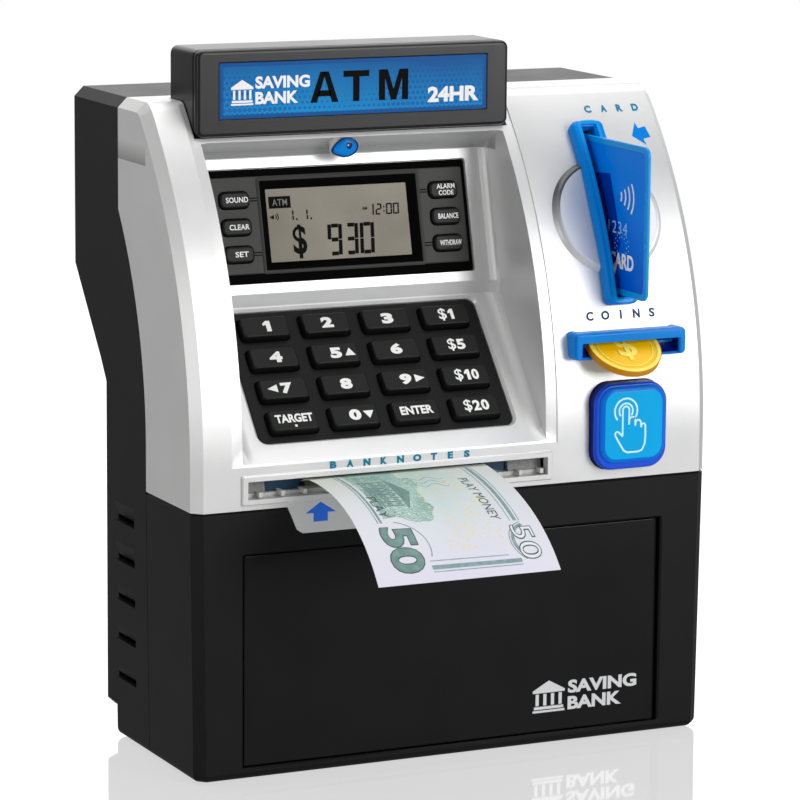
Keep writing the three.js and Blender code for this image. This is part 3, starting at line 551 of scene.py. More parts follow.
def stroke(points, width, closed=False):
    """A line of even width through the points, as a shape of unit thickness."""
    count = len(points)
    left, right = [], []
    for i, (u, v) in enumerate(points):
        before = points[i - 1] if closed or i > 0 else points[i]
        after = points[(i + 1) % count] if closed or i < count - 1 else points[i]
        du, dv = after[0] - before[0], after[1] - before[1]
        length = math.hypot(du, dv)
        du, dv = du / length * width / 2, dv / length * width / 2
        left.append((u - dv, v + du))
        right.append((u + dv, v - du))
    sections = [[(*l, -0.5), (*r, -0.5), (*r, 0.5), (*l, 0.5)] for l, r in zip(left, right)]
    return loft(sections, closed=closed)


def arc(centre, radius, start, end, steps=16):
    return [(centre[0] + radius * math.cos(math.radians(start + (end - start) * i / steps)),
             centre[1] + radius * math.sin(math.radians(start + (end - start) * i / steps)))
            for i in range(steps + 1)]


def ellipse(carry, reach_u, reach_v, lift, sides, centre=(0, 0)):
    """A ring of points round a centre on the surface that `carry` describes."""
    return [carry(centre[0] + reach_u * math.cos(math.tau * i / sides),
                  centre[1] + reach_v * math.sin(math.tau * i / sides), lift) for i in range(sides)]


# ---- the body's outlines -----------------------------------------------------------------------

HALF = 95.0
TOP = 219.4
CHAMFER = 3.3
WALL = 2.4
GAP = 0.3
SPLIT = 90.8
ARC_START = 105.0
ARC_RADIUS = 166.0
TOP_ROUND = 8.0
SEAM_Y = 41.4
SEAM_TOP_Y = 65.5
SEAM_RADIUS = 136.0
REAR_TOP_Y = 105.5
FAR = 20.0
FACE_X = -22.3
RIGHT_X = 63.0
RECESS = (-77.7, 33.0)
SIGN = {"left": -79.3, "right": 34.7, "front": 35.2, "back": 58.5, "bottom": 208.2, "top": 236.9}

DISPLAY = {"y": 45.0, "z": 177.0, "tilt": 14}
KEYPAD = {"y": 22.6, "z": 130.4, "tilt": 41}

display = sloped(FACE_X, *DISPLAY.values())
keypad = sloped(FACE_X, *KEYPAD.values())


def on_front(x, s, lift):
    """A point over the front face. s is the height, measured along the surface above the bend."""
    bend = max(0.0, s - ARC_START) / ARC_RADIUS
    reach = ARC_RADIUS + lift
    return (x, ARC_RADIUS - reach * math.cos(bend), min(s, ARC_START) + reach * math.sin(bend))


def along(z):
    """Distance along the front face of a height."""
    return z if z < ARC_START else ARC_START + ARC_RADIUS * math.asin((z - ARC_START) / ARC_RADIUS)


def front_at(x, z):
    """A frame that lies on the front face round a point, and bends with it."""
    return lambda u, v, w: on_front(x + u, along(z) + v, w)


def front_line(inset, steps=44, top_steps=8):
    """The front face from below the foot to the top, moved inwards by `inset`."""
    points = [(inset, -FAR)]
    centre_z = TOP - TOP_ROUND
    rise = centre_z - ARC_START
    reach = math.sqrt((ARC_RADIUS - TOP_ROUND) ** 2 - rise ** 2)
    end = math.atan2(rise, reach)
    for i in range(steps + 1):
        angle = end * i / steps
        radius = ARC_RADIUS - inset
        points.append((ARC_RADIUS - radius * math.cos(angle), ARC_START + radius * math.sin(angle)))
    for i in range(1, top_steps + 1):
        angle = end + (math.pi / 2 - end) * i / top_steps
        radius = TOP_ROUND - inset
        points.append((ARC_RADIUS - reach - radius * math.cos(angle), centre_z + radius * math.sin(angle)))
    return points


def body_outline(inset):
    return [*front_line(inset), (REAR_TOP_Y + FAR, TOP - inset), (REAR_TOP_Y + FAR, -FAR)]


def seam_line(shift, steps=24):
    """The curved seam between the front shell and the rear cover, from the top down."""
    end = math.acos(1 - (SEAM_TOP_Y - SEAM_Y) / SEAM_RADIUS)
    points = [(SEAM_TOP_Y + shift, TOP + FAR)]
    for i in range(steps, -1, -1):
        angle = end * i / steps
        points.append((SEAM_Y + shift + SEAM_RADIUS * (1 - math.cos(angle)),
                       ARC_START + SEAM_RADIUS * math.sin(angle)))
    return points


def upper_body():
    return loft([
        [(x, y, z) for y, z in body_outline(inset)]
        for x, inset in ((-HALF, CHAMFER), (CHAMFER - HALF, 0), (HALF - CHAMFER, 0), (HALF, CHAMFER))
    ])


def upper_cavity():
    return prism_x(body_outline(WALL), WALL - HALF, HALF - WALL)


def depth_at(plane, z):
    """How far back the plane of the display or the keypad lies at a height."""
    return plane["y"] + math.tan(math.radians(plane["tilt"])) * (z - plane["z"])


# ---- front shell -------------------------------------------------------------------------------

CEILING = 206.6
DISPLAY_TOP, DISPLAY_BOTTOM, KEYPAD_TOP = 199.0, 155.0, 150.6
RIM_INNER, RIM_OUTER = 109.3, 105.2
FOOT_SHARE = 0.12
COVE_SHADE_RISE = 6.5


def recess_line(shift, steps=12):
    """The floor of the recess from the lip under the sign down, moved out of the face by `shift`."""
    lip_y = on_front(0, along(CEILING), 0)[1]
    cove_y = depth_at(DISPLAY, DISPLAY_TOP)
    points = []
    for i in range(steps + 1):
        angle = math.pi / 2 * i / steps
        points.append((cove_y - shift - (cove_y - lip_y) * (1 - math.sin(angle)),
                       DISPLAY_TOP + (CEILING - DISPLAY_TOP) * math.cos(angle)))
    points.append((depth_at(DISPLAY, DISPLAY_BOTTOM) - shift, DISPLAY_BOTTOM))
    points.append((depth_at(KEYPAD, KEYPAD_TOP) - shift, KEYPAD_TOP))
    points.append((depth_at(KEYPAD, RIM_INNER) - shift * FOOT_SHARE, RIM_INNER))
    points.append((-shift * FOOT_SHARE, RIM_OUTER))
    return points


def recess_tool():
    """The recess, with a fillet of growing radius where its floor meets the side walls."""
    radius, steps = 5.0, 6
    rings = []
    stations = []
    for i in range(steps + 1):
        angle = math.pi / 2 * i / steps
        stations.append((RECESS[0] + radius * (1 - math.cos(angle)), radius * (1 - math.sin(angle))))
    stations += [(RECESS[0] + RECESS[1] - x, shift) for x, shift in reversed(stations)]
    for x, shift in stations:
        line = recess_line(shift)
        rings.append([(x, y, z) for y, z in line] + [(x, -FAR - 6, RIM_OUTER - FAR), (x, -FAR - 6, CEILING)])
    return loft(rings)


def rim_tool():
    """A shallow slanted band round the recess."""
    high = SIGN["bottom"] + 30
    outer = (RECESS[0] - 4, RECESS[1] + 4, RIM_OUTER - 0.3)
    inner = (RECESS[0] + 0.4, RECESS[1] - 0.4, RIM_OUTER + 4)
    steps = 40
    rings = []
    for (x0, x1, z0), lift in ((outer, 3), (outer, -0.4), (inner, -0.8)):
        low = along(z0)
        left = [(x0, low + (high - low) * i / steps) for i in range(steps + 1)]
        right = [(x1, s) for _, s in reversed(left)]
        rings.append([on_front(x, s, lift) for x, s in left + right])
    return loft(rings)


def pocket(width, height, radius, depth, carry, lip=0.0, steps=6):
    """A cutter for a rounded hole with a chamfered mouth."""
    levels = [(-lip, 8), (-lip, 0.02), (0, -lip), (0, -depth)] if lip else [(0, 8), (0, -depth)]
    return slab(width, height, radius, levels, carry, steps)


NOTE_SLOT = {"left": -76.4, "right": 33.0, "bottom": 94.3, "top": 100.3, "rim": 1.9}
CARD_SLOT = (151.2, 206.4)
DISC = {"x": 63.5, "z": 178.0, "radius": 20.4, "bevel": 1.5, "height": 1.6}


def tab_outline(grow):
    """The tab under the note slot, as (x, z)."""
    return [(-62.5 - grow, SPLIT + 1), (-61 - grow, 88.5), (-58.6 - grow, 82.9), (-56.6, 81.6 - grow),
            (12, 81.6 - grow), (14 + grow, 82.9), (16.5 + grow, 88.5), (18 + grow, SPLIT + 1)]


def disc_ring(inset, lift):
    """A ring on the raised disc behind the card slot."""
    radius = DISC["radius"] + 1 - inset
    return ellipse(front_at(DISC["x"], DISC["z"]), radius, radius, lift, 72)


def painted_reflection_ring_look():
    """The metal ring round the card slot, with a painted reflection: dark at its upper left, pale towards its
    foot.
    """
    look = plain_look("silver_band_painted_reflection", (0.5, 0.5, 0.5), 0.32, 0.35)
    graph = Graph(look)
    axes = graph.axes()
    across, up = -0.2 / DISC["radius"], 0.8 / DISC["radius"]
    middle = 0.5 - DISC["x"] * across - DISC["z"] * up
    share = graph.math("MULTIPLY_ADD", axes["X"], across / MM, middle)
    share = graph.math("MULTIPLY_ADD", axes["Z"], up / MM, share)
    # Painted reflection: a ramp across the ring from pale at its foot to dark at its upper left.
    tint = graph.ramp(share, [(0.1, (0.82, 0.82, 0.82)), (0.65, (0.5, 0.5, 0.5)), (1.0, (0.09, 0.09, 0.09))])
    graph.colour(tint)
    return look


def painted_shade_shell_look():
    """The silver paint, with painted shade low in the cove over the display: darker towards the display's top
    edge, deep in the recess.
    """
    look = silver_paint("shell_silver_painted_shade")
    graph = Graph(look)
    paint = graph.shader.inputs["Base Color"].links[0].from_socket
    axes = graph.axes()
    # Painted shade: the paint darkens towards the display's top edge, over COVE_SHADE_RISE mm, only deep
    # inside the recess.
    rise = graph.math("MULTIPLY_ADD", axes["Z"], 1 / (COVE_SHADE_RISE * MM),
                      -(DISPLAY_TOP + 0.3) / COVE_SHADE_RISE)
    inside = graph.math("GREATER_THAN", axes["Y"], FRONT_Y + 41 * MM)
    above = graph.math("GREATER_THAN", rise, 0.0)
    fade = graph.math("SUBTRACT", 1.0, graph.math("MINIMUM", rise, 1.0))
    share = graph.math("MULTIPLY", graph.math("MULTIPLY", inside, above), graph.math("MULTIPLY", fade, 0.6))
    graph.colour(graph.mix(share, paint, (0.10, 0.10, 0.10)))
    return look


def opening_frame(opening):
    """Width, height and middle frame of an opening in the upright part of the front."""
    middle_x = (opening["left"] + opening["right"]) / 2
    middle_z = (opening["top"] + opening["bottom"]) / 2
    return (opening["right"] - opening["left"], opening["top"] - opening["bottom"],
            sloped(middle_x, 0, middle_z, 0))


def make_front_shell():
    front_half = [(-FAR, SPLIT), (-FAR, TOP + FAR), *seam_line(-GAP / 2), (SEAM_Y - GAP / 2, SPLIT)]
    outer = carve(upper_body(), [("INTERSECT", prism_x(front_half, -HALF * 2, HALF * 2))])
    block_outline = [
        (-FAR, SIGN["bottom"] - GAP), (58, SIGN["bottom"] - GAP),
        (depth_at(DISPLAY, DISPLAY_TOP) + 3, DISPLAY_TOP),
        (depth_at(DISPLAY, DISPLAY_BOTTOM) + 3, DISPLAY_BOTTOM - 1),
        (depth_at(KEYPAD, KEYPAD_TOP) + 4.5, KEYPAD_TOP - 1), (2.3, 102.2), (-FAR, 102.2),
    ]
    solid_block = carve(prism_x(block_outline, RECESS[0] - WALL, RECESS[1] + WALL),
                        [("INTERSECT", outer.copy())])
    slot_width, slot_height, slot_frame = opening_frame(NOTE_SLOT)
    rim = NOTE_SLOT["rim"]
    middle, edge, height = 1 + DISC["bevel"] * 0.5, 1 + DISC["bevel"], DISC["height"]
    disc = loft([disc_ring(inset, lift) for inset, lift in (
        (1, -1.0), (1, 0), (middle, height * 0.7), (edge, height))])
    eye_tool = [eye_ring(EYE["width"] + GAP, EYE["height"] + GAP, lift, 40) for lift in (-FAR, 6)]
    shell = carve(outer, [
        ("DIFFERENCE", upper_cavity()),
        ("UNION", solid_block),
        ("UNION", prism_y(tab_outline(0), 0, WALL)),
        ("UNION", slab(slot_width + 2 * rim, slot_height + 2 * rim, 0.6,
                       [(0, -WALL), (0, 0.6), (0.4, 1.0)], slot_frame, 3)),
        ("UNION", disc),
        ("DIFFERENCE", recess_tool()),
        ("DIFFERENCE", rim_tool()),
        ("DIFFERENCE", block(SIGN["left"] - GAP, SIGN["right"] + GAP, -FAR, SIGN["back"] + GAP,
                             SIGN["bottom"] - GAP, TOP + FAR)),
        ("DIFFERENCE", pocket(95.8, 38.8, 1.0, 2.6, display)),
        ("DIFFERENCE", pocket(91.2, 34.2, 1.0, 20, display)),
        ("DIFFERENCE", pocket(93.4, 50.6, 3.2, 3.0, keypad, lip=0.9)),
        ("DIFFERENCE", pocket(88.8, 46, 2.0, 20, keypad)),
        ("DIFFERENCE", pocket(slot_width, slot_height, 0.3, 12, slot_frame, steps=2)),
        ("DIFFERENCE", block(RIGHT_X - 2.3, RIGHT_X + 2.3, -FAR, 50, *CARD_SLOT)),
        ("DIFFERENCE", block(RIGHT_X - 18.5, RIGHT_X + 18.5, -FAR, 15, 133.4, 140.2)),
        ("DIFFERENCE", pocket(28.2, 30.2, 7, 20, sloped(RIGHT_X, 0, 109.2, 0))),
        ("DIFFERENCE", loft(eye_tool)),
    ])
    band = [disc_ring(inset, lift) for inset, lift in (
        (0.9, -0.3), (0.9, 0.12), (middle, height * 0.7 + 0.1), (edge, height + 0.08),
        (edge + 0.7, height + 0.04), (edge + 0.7, -0.3))]
    # The band round the disc carries the ring's painted reflection.
    piece("front_shell_skin", [(shell, painted_shade_shell_look()), (loft(band, closed=True), painted_reflection_ring_look())], "housing",
          ["front_shell"], crease=10)


EYE = {"width": 4.4, "height": 3.1}
eye_frame = sloped(FACE_X, 43.5, 202.2, -40)
eye_face = sloped(FACE_X, 43.2, 202.2, -8)


def eye_ring(reach_u, reach_v, lift, sides):
    return ellipse(eye_frame, reach_u, reach_v, lift, sides)


# ---- black housing -----------------------------------------------------------------------------

DOOR = {"left": -77.0, "right": 76.9, "bottom": 4.9, "top": 75.4, "front": 0.9, "back": 3.1}
HINGE = (75.1, 2.7)
FOOT = 0.6
REAR_BOX_Y, REAR_LOW_Y = 82.0, 70.3
STEP_TOP, STEP_FOOT = 159, 129.7
FOOT_SHARE_OF_WIDTH = 0.989
CORNER_SHRINK = 0.586


def lower_body(inset, top, top_edge=0.0, foot_round=2.6):
    """The lower body as a loft over its height, rounded at the foot and bevelled at the top."""
    levels = []
    for i in range(5):
        angle = math.pi / 2 * i / 4
        levels.append((FOOT + inset + foot_round * (1 - math.cos(angle)), foot_round * (1 - math.sin(angle))))
    levels.append((top - top_edge, 0.0))
    if top_edge:
        levels.append((top, top_edge))
    rings = []
    for z, extra in levels:
        narrowing = FOOT_SHARE_OF_WIDTH + (1 - FOOT_SHARE_OF_WIDTH) * min(1.0, (z - FOOT) / (SPLIT - FOOT))
        side = (HALF - inset) * narrowing - extra
        front = inset + extra
        corner = (CHAMFER if inset == 0 else 1.0) - CORNER_SHRINK * min(extra, 1.5)
        rings.append([(-side, REAR_TOP_Y + FAR, z), (-side, front + corner, z), (-side + corner, front, z),
                      (side - corner, front, z), (side, front + corner, z), (side, REAR_TOP_Y + FAR, z)])
    return loft(rings)


def make_lower_housing():
    top = SPLIT - GAP
    region = block(-HALF * 2, HALF * 2, -FAR, SEAM_Y - GAP / 2, 0, top + 1)
    width, height, opening = opening_frame(DOOR)
    play = 0.9
    housing = carve(lower_body(0, top, 0.7), [
        ("INTERSECT", region),
        ("DIFFERENCE", lower_body(WALL, top + FAR, foot_round=1.0)),
        ("UNION", block(HINGE[0] - 3.5, HALF - WALL - 1, 1, 7, DOOR["top"] + 0.5, DOOR["top"] + 4)),
        ("UNION", block(HINGE[0] - 3.5, HALF - WALL - 2, 1, 7, 2, DOOR["bottom"] - 0.5)),
        ("DIFFERENCE", pocket(width + play, height + play, 0.4, 4.8, opening, lip=0.6, steps=2)),
        ("DIFFERENCE", prism_y(tab_outline(GAP + 0.1), -FAR, WALL + GAP)),
        ("DIFFERENCE", turned("z", [(DOOR["bottom"] - 2.4, 1.5), (DOOR["top"] + 3, 1.5)], HINGE, 16)),
    ])
    piece("lower_housing_skin", [(housing, black)], "housing", ["lower_housing"])


def rear_outline(inset, steps=10):
    """The back: deep at the top, a slope, and a rounded foot of the slope that runs down to the base."""
    slope = math.atan2(REAR_TOP_Y - REAR_BOX_Y, STEP_TOP - STEP_FOOT)
    shift = inset * math.tan((math.pi / 2 - slope) / 4)
    points = [(REAR_TOP_Y - inset, STEP_TOP + shift), (REAR_BOX_Y - inset, STEP_FOOT + shift)]
    for i in range(steps + 1):
        angle = (math.pi / 2 - slope / 2) * i / steps
        points.append((REAR_LOW_Y - inset + (REAR_BOX_Y - REAR_LOW_Y) * (1 - math.sin(angle)) * 0.55,
                       109.7 + 12.4 * math.cos(angle)))
    return [(REAR_TOP_Y - inset, TOP + FAR), *points, (REAR_LOW_Y - inset, -FAR)]


BATTERY = {"left": -29.0, "right": 29.0, "front": 64.0, "bottom": 15.0, "top": 63.0, "screw": (0.0, 67.4)}
SWITCH = {"x": 55.0, "z": 190.0, "slot": 13.0}
SCREW_WELLS = [(-84.0, 200.0), (84.0, 172.0), (-84.0, 172.0), (84.0, 208.0)]
LOW_SCREW_WELLS = [(-80.0, 118.0), (80.0, 118.0), (-80.0, 22.0), (80.0, 22.0)]


def scoop(z, side):
    """A cutter for one air slot: deep at its foot and shallow at its top."""
    near, far = 52.5, 71.3
    outline = [(3.4, z), (-2, z), (-2, z + 8), (0.4, z + 6.3), (2, z + 1.6), (3.4, z + 1.6)]
    return loft([[(side * (HALF - depth), y, height) for depth, height in outline] for y in (near, far)])


def make_rear_cover():
    low_top = SPLIT + 0.05
    low = carve(lower_body(0, low_top), [
        ("INTERSECT", block(-HALF * 2, HALF * 2, SEAM_Y + GAP / 2, REAR_TOP_Y, 0, low_top + 1))])
    high = carve(upper_body(), [("INTERSECT", prism_x(
        [*seam_line(GAP / 2), (SEAM_Y + GAP / 2, SPLIT), (REAR_TOP_Y + FAR, SPLIT),
         (REAR_TOP_Y + FAR, TOP + FAR)], -HALF * 2, HALF * 2))])

    def profile(inset):
        return prism_x([(-FAR, -FAR), (-FAR, TOP + FAR), *rear_outline(inset)], -HALF * 2, HALF * 2)

    def rear_box(inset):
        reach = HALF - 2 - inset
        levels = [(9 + inset, 2.0), (11 + inset, 0.0), (STEP_FOOT - 1.5 * inset, 0.0)]
        rings = []
        for z, extra in levels:
            rings.append([(-reach + extra, 60, z), (reach - extra, 60, z),
                          (reach - extra, REAR_BOX_Y - inset - extra, z),
                          (-reach + extra, REAR_BOX_Y - inset - extra, z)])
        return loft(rings)

    cavity = carve(upper_cavity(), [
        ("INTERSECT", block(-HALF * 2, HALF * 2, -FAR, 200, SPLIT - 1, 300)),
        ("UNION", lower_body(WALL, low_top, foot_round=1.0)),
        ("INTERSECT", profile(WALL)),
        ("UNION", rear_box(WALL)),
    ])
    b = BATTERY
    wells = [turned("y", [(back - depth, 2.6), (back + 2, 2.6)], place, 20)
             for back, depth, places in ((REAR_TOP_Y, 4, SCREW_WELLS), (REAR_BOX_Y, 2.2, LOW_SCREW_WELLS))
             for place in places]
    cover = carve(low, [
        ("UNION", high),
        ("INTERSECT", profile(0)),
        ("UNION", rear_box(0)),
        ("DIFFERENCE", cavity),
        ("UNION", block(b["left"] - 1.5, b["right"] + 1.5, b["front"] - 1.5, REAR_BOX_Y,
                        b["bottom"] - 1.5, b["top"] + 1.5)),
        ("DIFFERENCE", block(b["left"], b["right"], b["front"], REAR_BOX_Y + 5, b["bottom"], b["top"])),
        ("DIFFERENCE", block(b["left"] - 4, b["right"] + 4, REAR_BOX_Y - 1.7, REAR_BOX_Y + 5,
                             b["bottom"] - 4, b["top"] + 8)),
        ("UNION", turned("y", [(REAR_BOX_Y - 9, 3.2), (REAR_BOX_Y - 1.75, 3.2)], b["screw"], 20)),
        ("DIFFERENCE", turned("y", [(REAR_BOX_Y - 7.5, 1.5), (REAR_BOX_Y, 1.5)], b["screw"], 16)),
        *[("DIFFERENCE", scoop(21.1 + 13.7 * i, side)) for i in range(5) for side in (-1, 1)],
        *[("DIFFERENCE", tool) for tool in wells],
        ("DIFFERENCE", block(SWITCH["x"] - SWITCH["slot"] / 2, SWITCH["x"] + SWITCH["slot"] / 2,
                             REAR_TOP_Y - 5, REAR_TOP_Y + 5, SWITCH["z"] - 2.2, SWITCH["z"] + 2.2)),
    ])
    piece("rear_cover_skin", [(cover, black)], "housing", ["rear_cover"])


def make_door():
    width, height, centre = opening_frame({**DOOR, "right": HINGE[0]})
    front, back = -DOOR["front"], -DOOR["back"]
    panel = slab(width, height, 0.5, [(0, back), (0, front - 0.35), (0.12, front - 0.1), (0.35, front)],
                 centre, 3)
    lug_left, lug_right = -70, -68
    door = carve(panel, [
        ("UNION", turned("z", [(DOOR["bottom"] + 0.02, 1.8), (DOOR["top"] - 0.02, 1.8)], HINGE, 24)),
        ("UNION", turned("z", [(DOOR["bottom"] - 2, 1.1), (DOOR["top"] + 2.6, 1.1)], HINGE, 16)),
        ("UNION", block(lug_left, lug_right, 2, 10, 62, 72)),
        ("DIFFERENCE", block(lug_left - 1, lug_right + 1, 4.8, 8.6, 65, 68.8)),
    ])
    face = sloped(0, DOOR["front"], 0, 0)
    emblem = bank_emblem(12.2, 11.0, face, -0.05, 0.06, (35.6, 17.0))
    first = legend("SAVING", 26.5, 4.6, face, -0.05, 0.06, (56.2, 19.6), 0.04)
    second = legend("BANK", 20.6, 4.6, face, -0.05, 0.06, (53.2, 13.9), 0.04)
    piece("cash_door_panel", [(door, door_black), (join(emblem, first, second), legend_grey)], "cash_door",
          ["cash_door"])


def bank_emblem(width, height, carry, low, high, centre):
    """A plain bank front: roof, four columns and two steps."""
    shapes = [[(-0.5, 0.62), (0.5, 0.62), (0.5, 0.7), (0, 1.0), (-0.5, 0.7)],
              rect(-0.46, 0.1, 0.46, 0.19), rect(-0.5, 0.0, 0.5, 0.07)]
    for i in range(4):
        x = -0.36 + 0.24 * i
        shapes.append(rect(x - 0.05, 0.22, x + 0.05, 0.59))
    scaled = [[(u * width, (v - 0.5) * height) for u, v in shape] for shape in shapes]
    return join(*[settle(cutout(shape), carry, low, high, centre) for shape in scaled])


# ---- sign --------------------------------------------------------------------------------------

# Outlines in a box one unit wide and high, centred on the origin.
LETTER_A = [
    [(-0.5, -0.5), (-0.27, -0.5), (0.05, 0.5), (-0.15, 0.5)],
    [(0.5, -0.5), (0.27, -0.5), (-0.05, 0.5), (0.15, 0.5)],
    [(-0.26, -0.3), (0.26, -0.3), (0.2, -0.11), (-0.2, -0.11)],
]
LETTER_T = [(-0.5, 0.5), (-0.5, 0.3), (-0.125, 0.3), (-0.125, -0.5), (0.125, -0.5), (0.125, 0.3), (0.5, 0.3),
            (0.5, 0.5)]
LETTER_M = [(-0.5, -0.5), (-0.5, 0.5), (-0.2, 0.5), (0, -0.15), (0.2, 0.5), (0.5, 0.5), (0.5, -0.5),
            (0.29, -0.5), (0.29, 0.22), (0.09, -0.5), (-0.09, -0.5), (-0.29, 0.22), (-0.29, -0.5)]
DIGIT_ONE = [(-0.5, 0.26), (-0.05, 0.5), (0.5, 0.5), (0.5, -0.5), (-0.1, -0.5), (-0.1, 0.14), (-0.5, 0.06)]

PANEL = {"width": 97.6, "height": 18.4, "z": 223.3}


def make_sign():
    width = SIGN["right"] - SIGN["left"]
    height = SIGN["top"] - SIGN["bottom"]
    middle_x = (SIGN["left"] + SIGN["right"]) / 2
    middle_z = (SIGN["top"] + SIGN["bottom"]) / 2
    place = sloped(middle_x, SIGN["front"], middle_z, 0)
    depth = SIGN["back"] - SIGN["front"]
    levels = [(1.0, -depth), (0.3, -depth + 0.3), (0, -depth + 1.0), (0, -3.9), (0.25, -3.4),
              (0.9, -3.3), (0.9, -2.7), (0.15, -2.6), (0, -2.3), (0, -1.4), (0.12, -0.8),
              (0.42, -0.38), (0.85, -0.12), (1.4, 0)]
    shift = (FACE_X - middle_x, PANEL["z"] - middle_z)
    body = carve(slab(width, height, 2.6, levels, place, 6), [
        ("DIFFERENCE", slab(PANEL["width"] + 0.4, PANEL["height"] + 0.4, 0.4,
                            [(0, -2), (0, -0.25), (-0.25, 0.02), (-0.25, 3)], place, 3, shift)),
    ])
    piece("sign_box", [(body, sign_black)], "housing", ["sign_housing"])

    face = sloped(FACE_X, SIGN["front"] + 0.35, PANEL["z"], 0)
    panel = slab(PANEL["width"], PANEL["height"], 0.3, [(0, -1.3), (0, -0.03), (0.05, 0)], face, 3)
    low, high = -0.04, 0.05
    start = -PANEL["width"] / 2
    emblem = bank_emblem(8.0, 8.4, face, low, high, (start + 8.1, -0.6))
    name = join(legend("SAVING", 19.6, 4.1, face, low, high, (start + 22.6, 2.5), 0.04),
                legend("BANK", 15.4, 4.1, face, low, high, (start + 20.5, -2.6), 0.04),
                legend("24HR", 19.0, 5.2, face, low, high, (start + 85.2, -3.7), 0.045))
    letters = [*[(part, 10.2, 37.7) for part in LETTER_A], (LETTER_T, 9.4, 49.3), (LETTER_M, 10.8, 63.0)]
    big = join(*[settle(cutout([(u * width, v * 10.2) for u, v in outline]), face, low, high,
                        (start + x, 0.2)) for outline, width, x in letters])
    piece("sign_print", [(panel, sign_look()), (join(emblem, name), legend_white), (big, ink_black)],
          "housing", ["sign_panel"])


def sign_look():
    """Blue print: lighter towards the foot, a darker border, and rows of dots that swell downwards."""
    look = plain_look("sign_look", (0.0, 0.3, 0.8), 0.34, specular=0.12)
    graph = Graph(look)
    axes = graph.axes()
    half_w, half_h = PANEL["width"] / 2, PANEL["height"] / 2
    u = graph.math("MULTIPLY_ADD", axes["X"], 1 / (half_w * MM), -FACE_X / half_w)
    v = graph.math("MULTIPLY_ADD", axes["Z"], 1 / (half_h * MM), -PANEL["z"] / half_h)
    rise = graph.math("MULTIPLY_ADD", v, 0.5, 0.5)
    cloud = graph.noise(60.0, 3.0)
    share = graph.math("MULTIPLY_ADD", cloud, 0.3, graph.math("MULTIPLY_ADD", rise, 0.8, -0.05))
    share = graph.math("MULTIPLY_ADD", u, 0.12, share)
    base = graph.ramp(share, [(0.1, (0.0, 0.25, 0.60)), (0.55, (0.0, 0.16, 0.44)),
                              (0.95, (0.0, 0.085, 0.29))])
    pitch = 1.8
    rows = graph.math("MULTIPLY", axes["Z"], 1 / (pitch * MM))
    odd = graph.math("MODULO", graph.math("FLOOR", rows), 2.0)
    columns = graph.math("ADD", graph.math("MULTIPLY", axes["X"], 1 / (pitch * MM)),
                         graph.math("MULTIPLY", odd, 0.5))
    du = graph.math("SUBTRACT", graph.math("FRACT", columns), 0.5)
    dv = graph.math("SUBTRACT", graph.math("FRACT", rows), 0.5)
    squares = graph.math("ADD", graph.math("MULTIPLY", du, du), graph.math("MULTIPLY", dv, dv))
    distance = graph.math("SQRT", squares)
    patch = graph.noise(38.0, 1.0)
    radius = graph.math("MULTIPLY_ADD", v, -0.2, graph.math("MULTIPLY_ADD", patch, 0.6, -0.08))
    dot = graph.math("LESS_THAN", distance, radius)
    dotted = graph.mix(graph.math("MULTIPLY", dot, 0.6), base, (0.0, 0.07, 0.30))
    edge_u = graph.math("GREATER_THAN", graph.math("ABSOLUTE", u), 1 - 1.4 / half_w)
    edge_v = graph.math("GREATER_THAN", graph.math("ABSOLUTE", v), 1 - 1.3 / half_h)
    edge = graph.math("MAXIMUM", edge_u, edge_v)
    graph.colour(graph.mix(edge, dotted, (0.0, 0.08, 0.30)))
    return look


# ---- display -----------------------------------------------------------------------------------

LCD_WINDOW = (52.0, 24.6)
LCD_LIFT = -2.6
# Name, side, row from the top, and the words of the legend with their widths.
FUNCTION_KEYS = [
    ("key_sound", -1, 0, ["SOUND"], [8.0]), ("key_clear", -1, 1, ["CLEAR"], [7.2]),
    ("key_set", -1, 2, ["SET"], [4.8]), ("key_alarm", 1, 0, ["ALARM", "CODE"], [6.8, 5.6]),
    ("key_balance", 1, 1, ["BALANCE"], [7.6]), ("key_withdraw", 1, 2, ["WITHDRAW"], [8.2]),
]
FUNCTION_REACH, FUNCTION_PITCH, FUNCTION_RISE = 38.6, 9.1, 8.9


def function_centre(side, row):
    return (side * FUNCTION_REACH, FUNCTION_RISE - row * FUNCTION_PITCH)


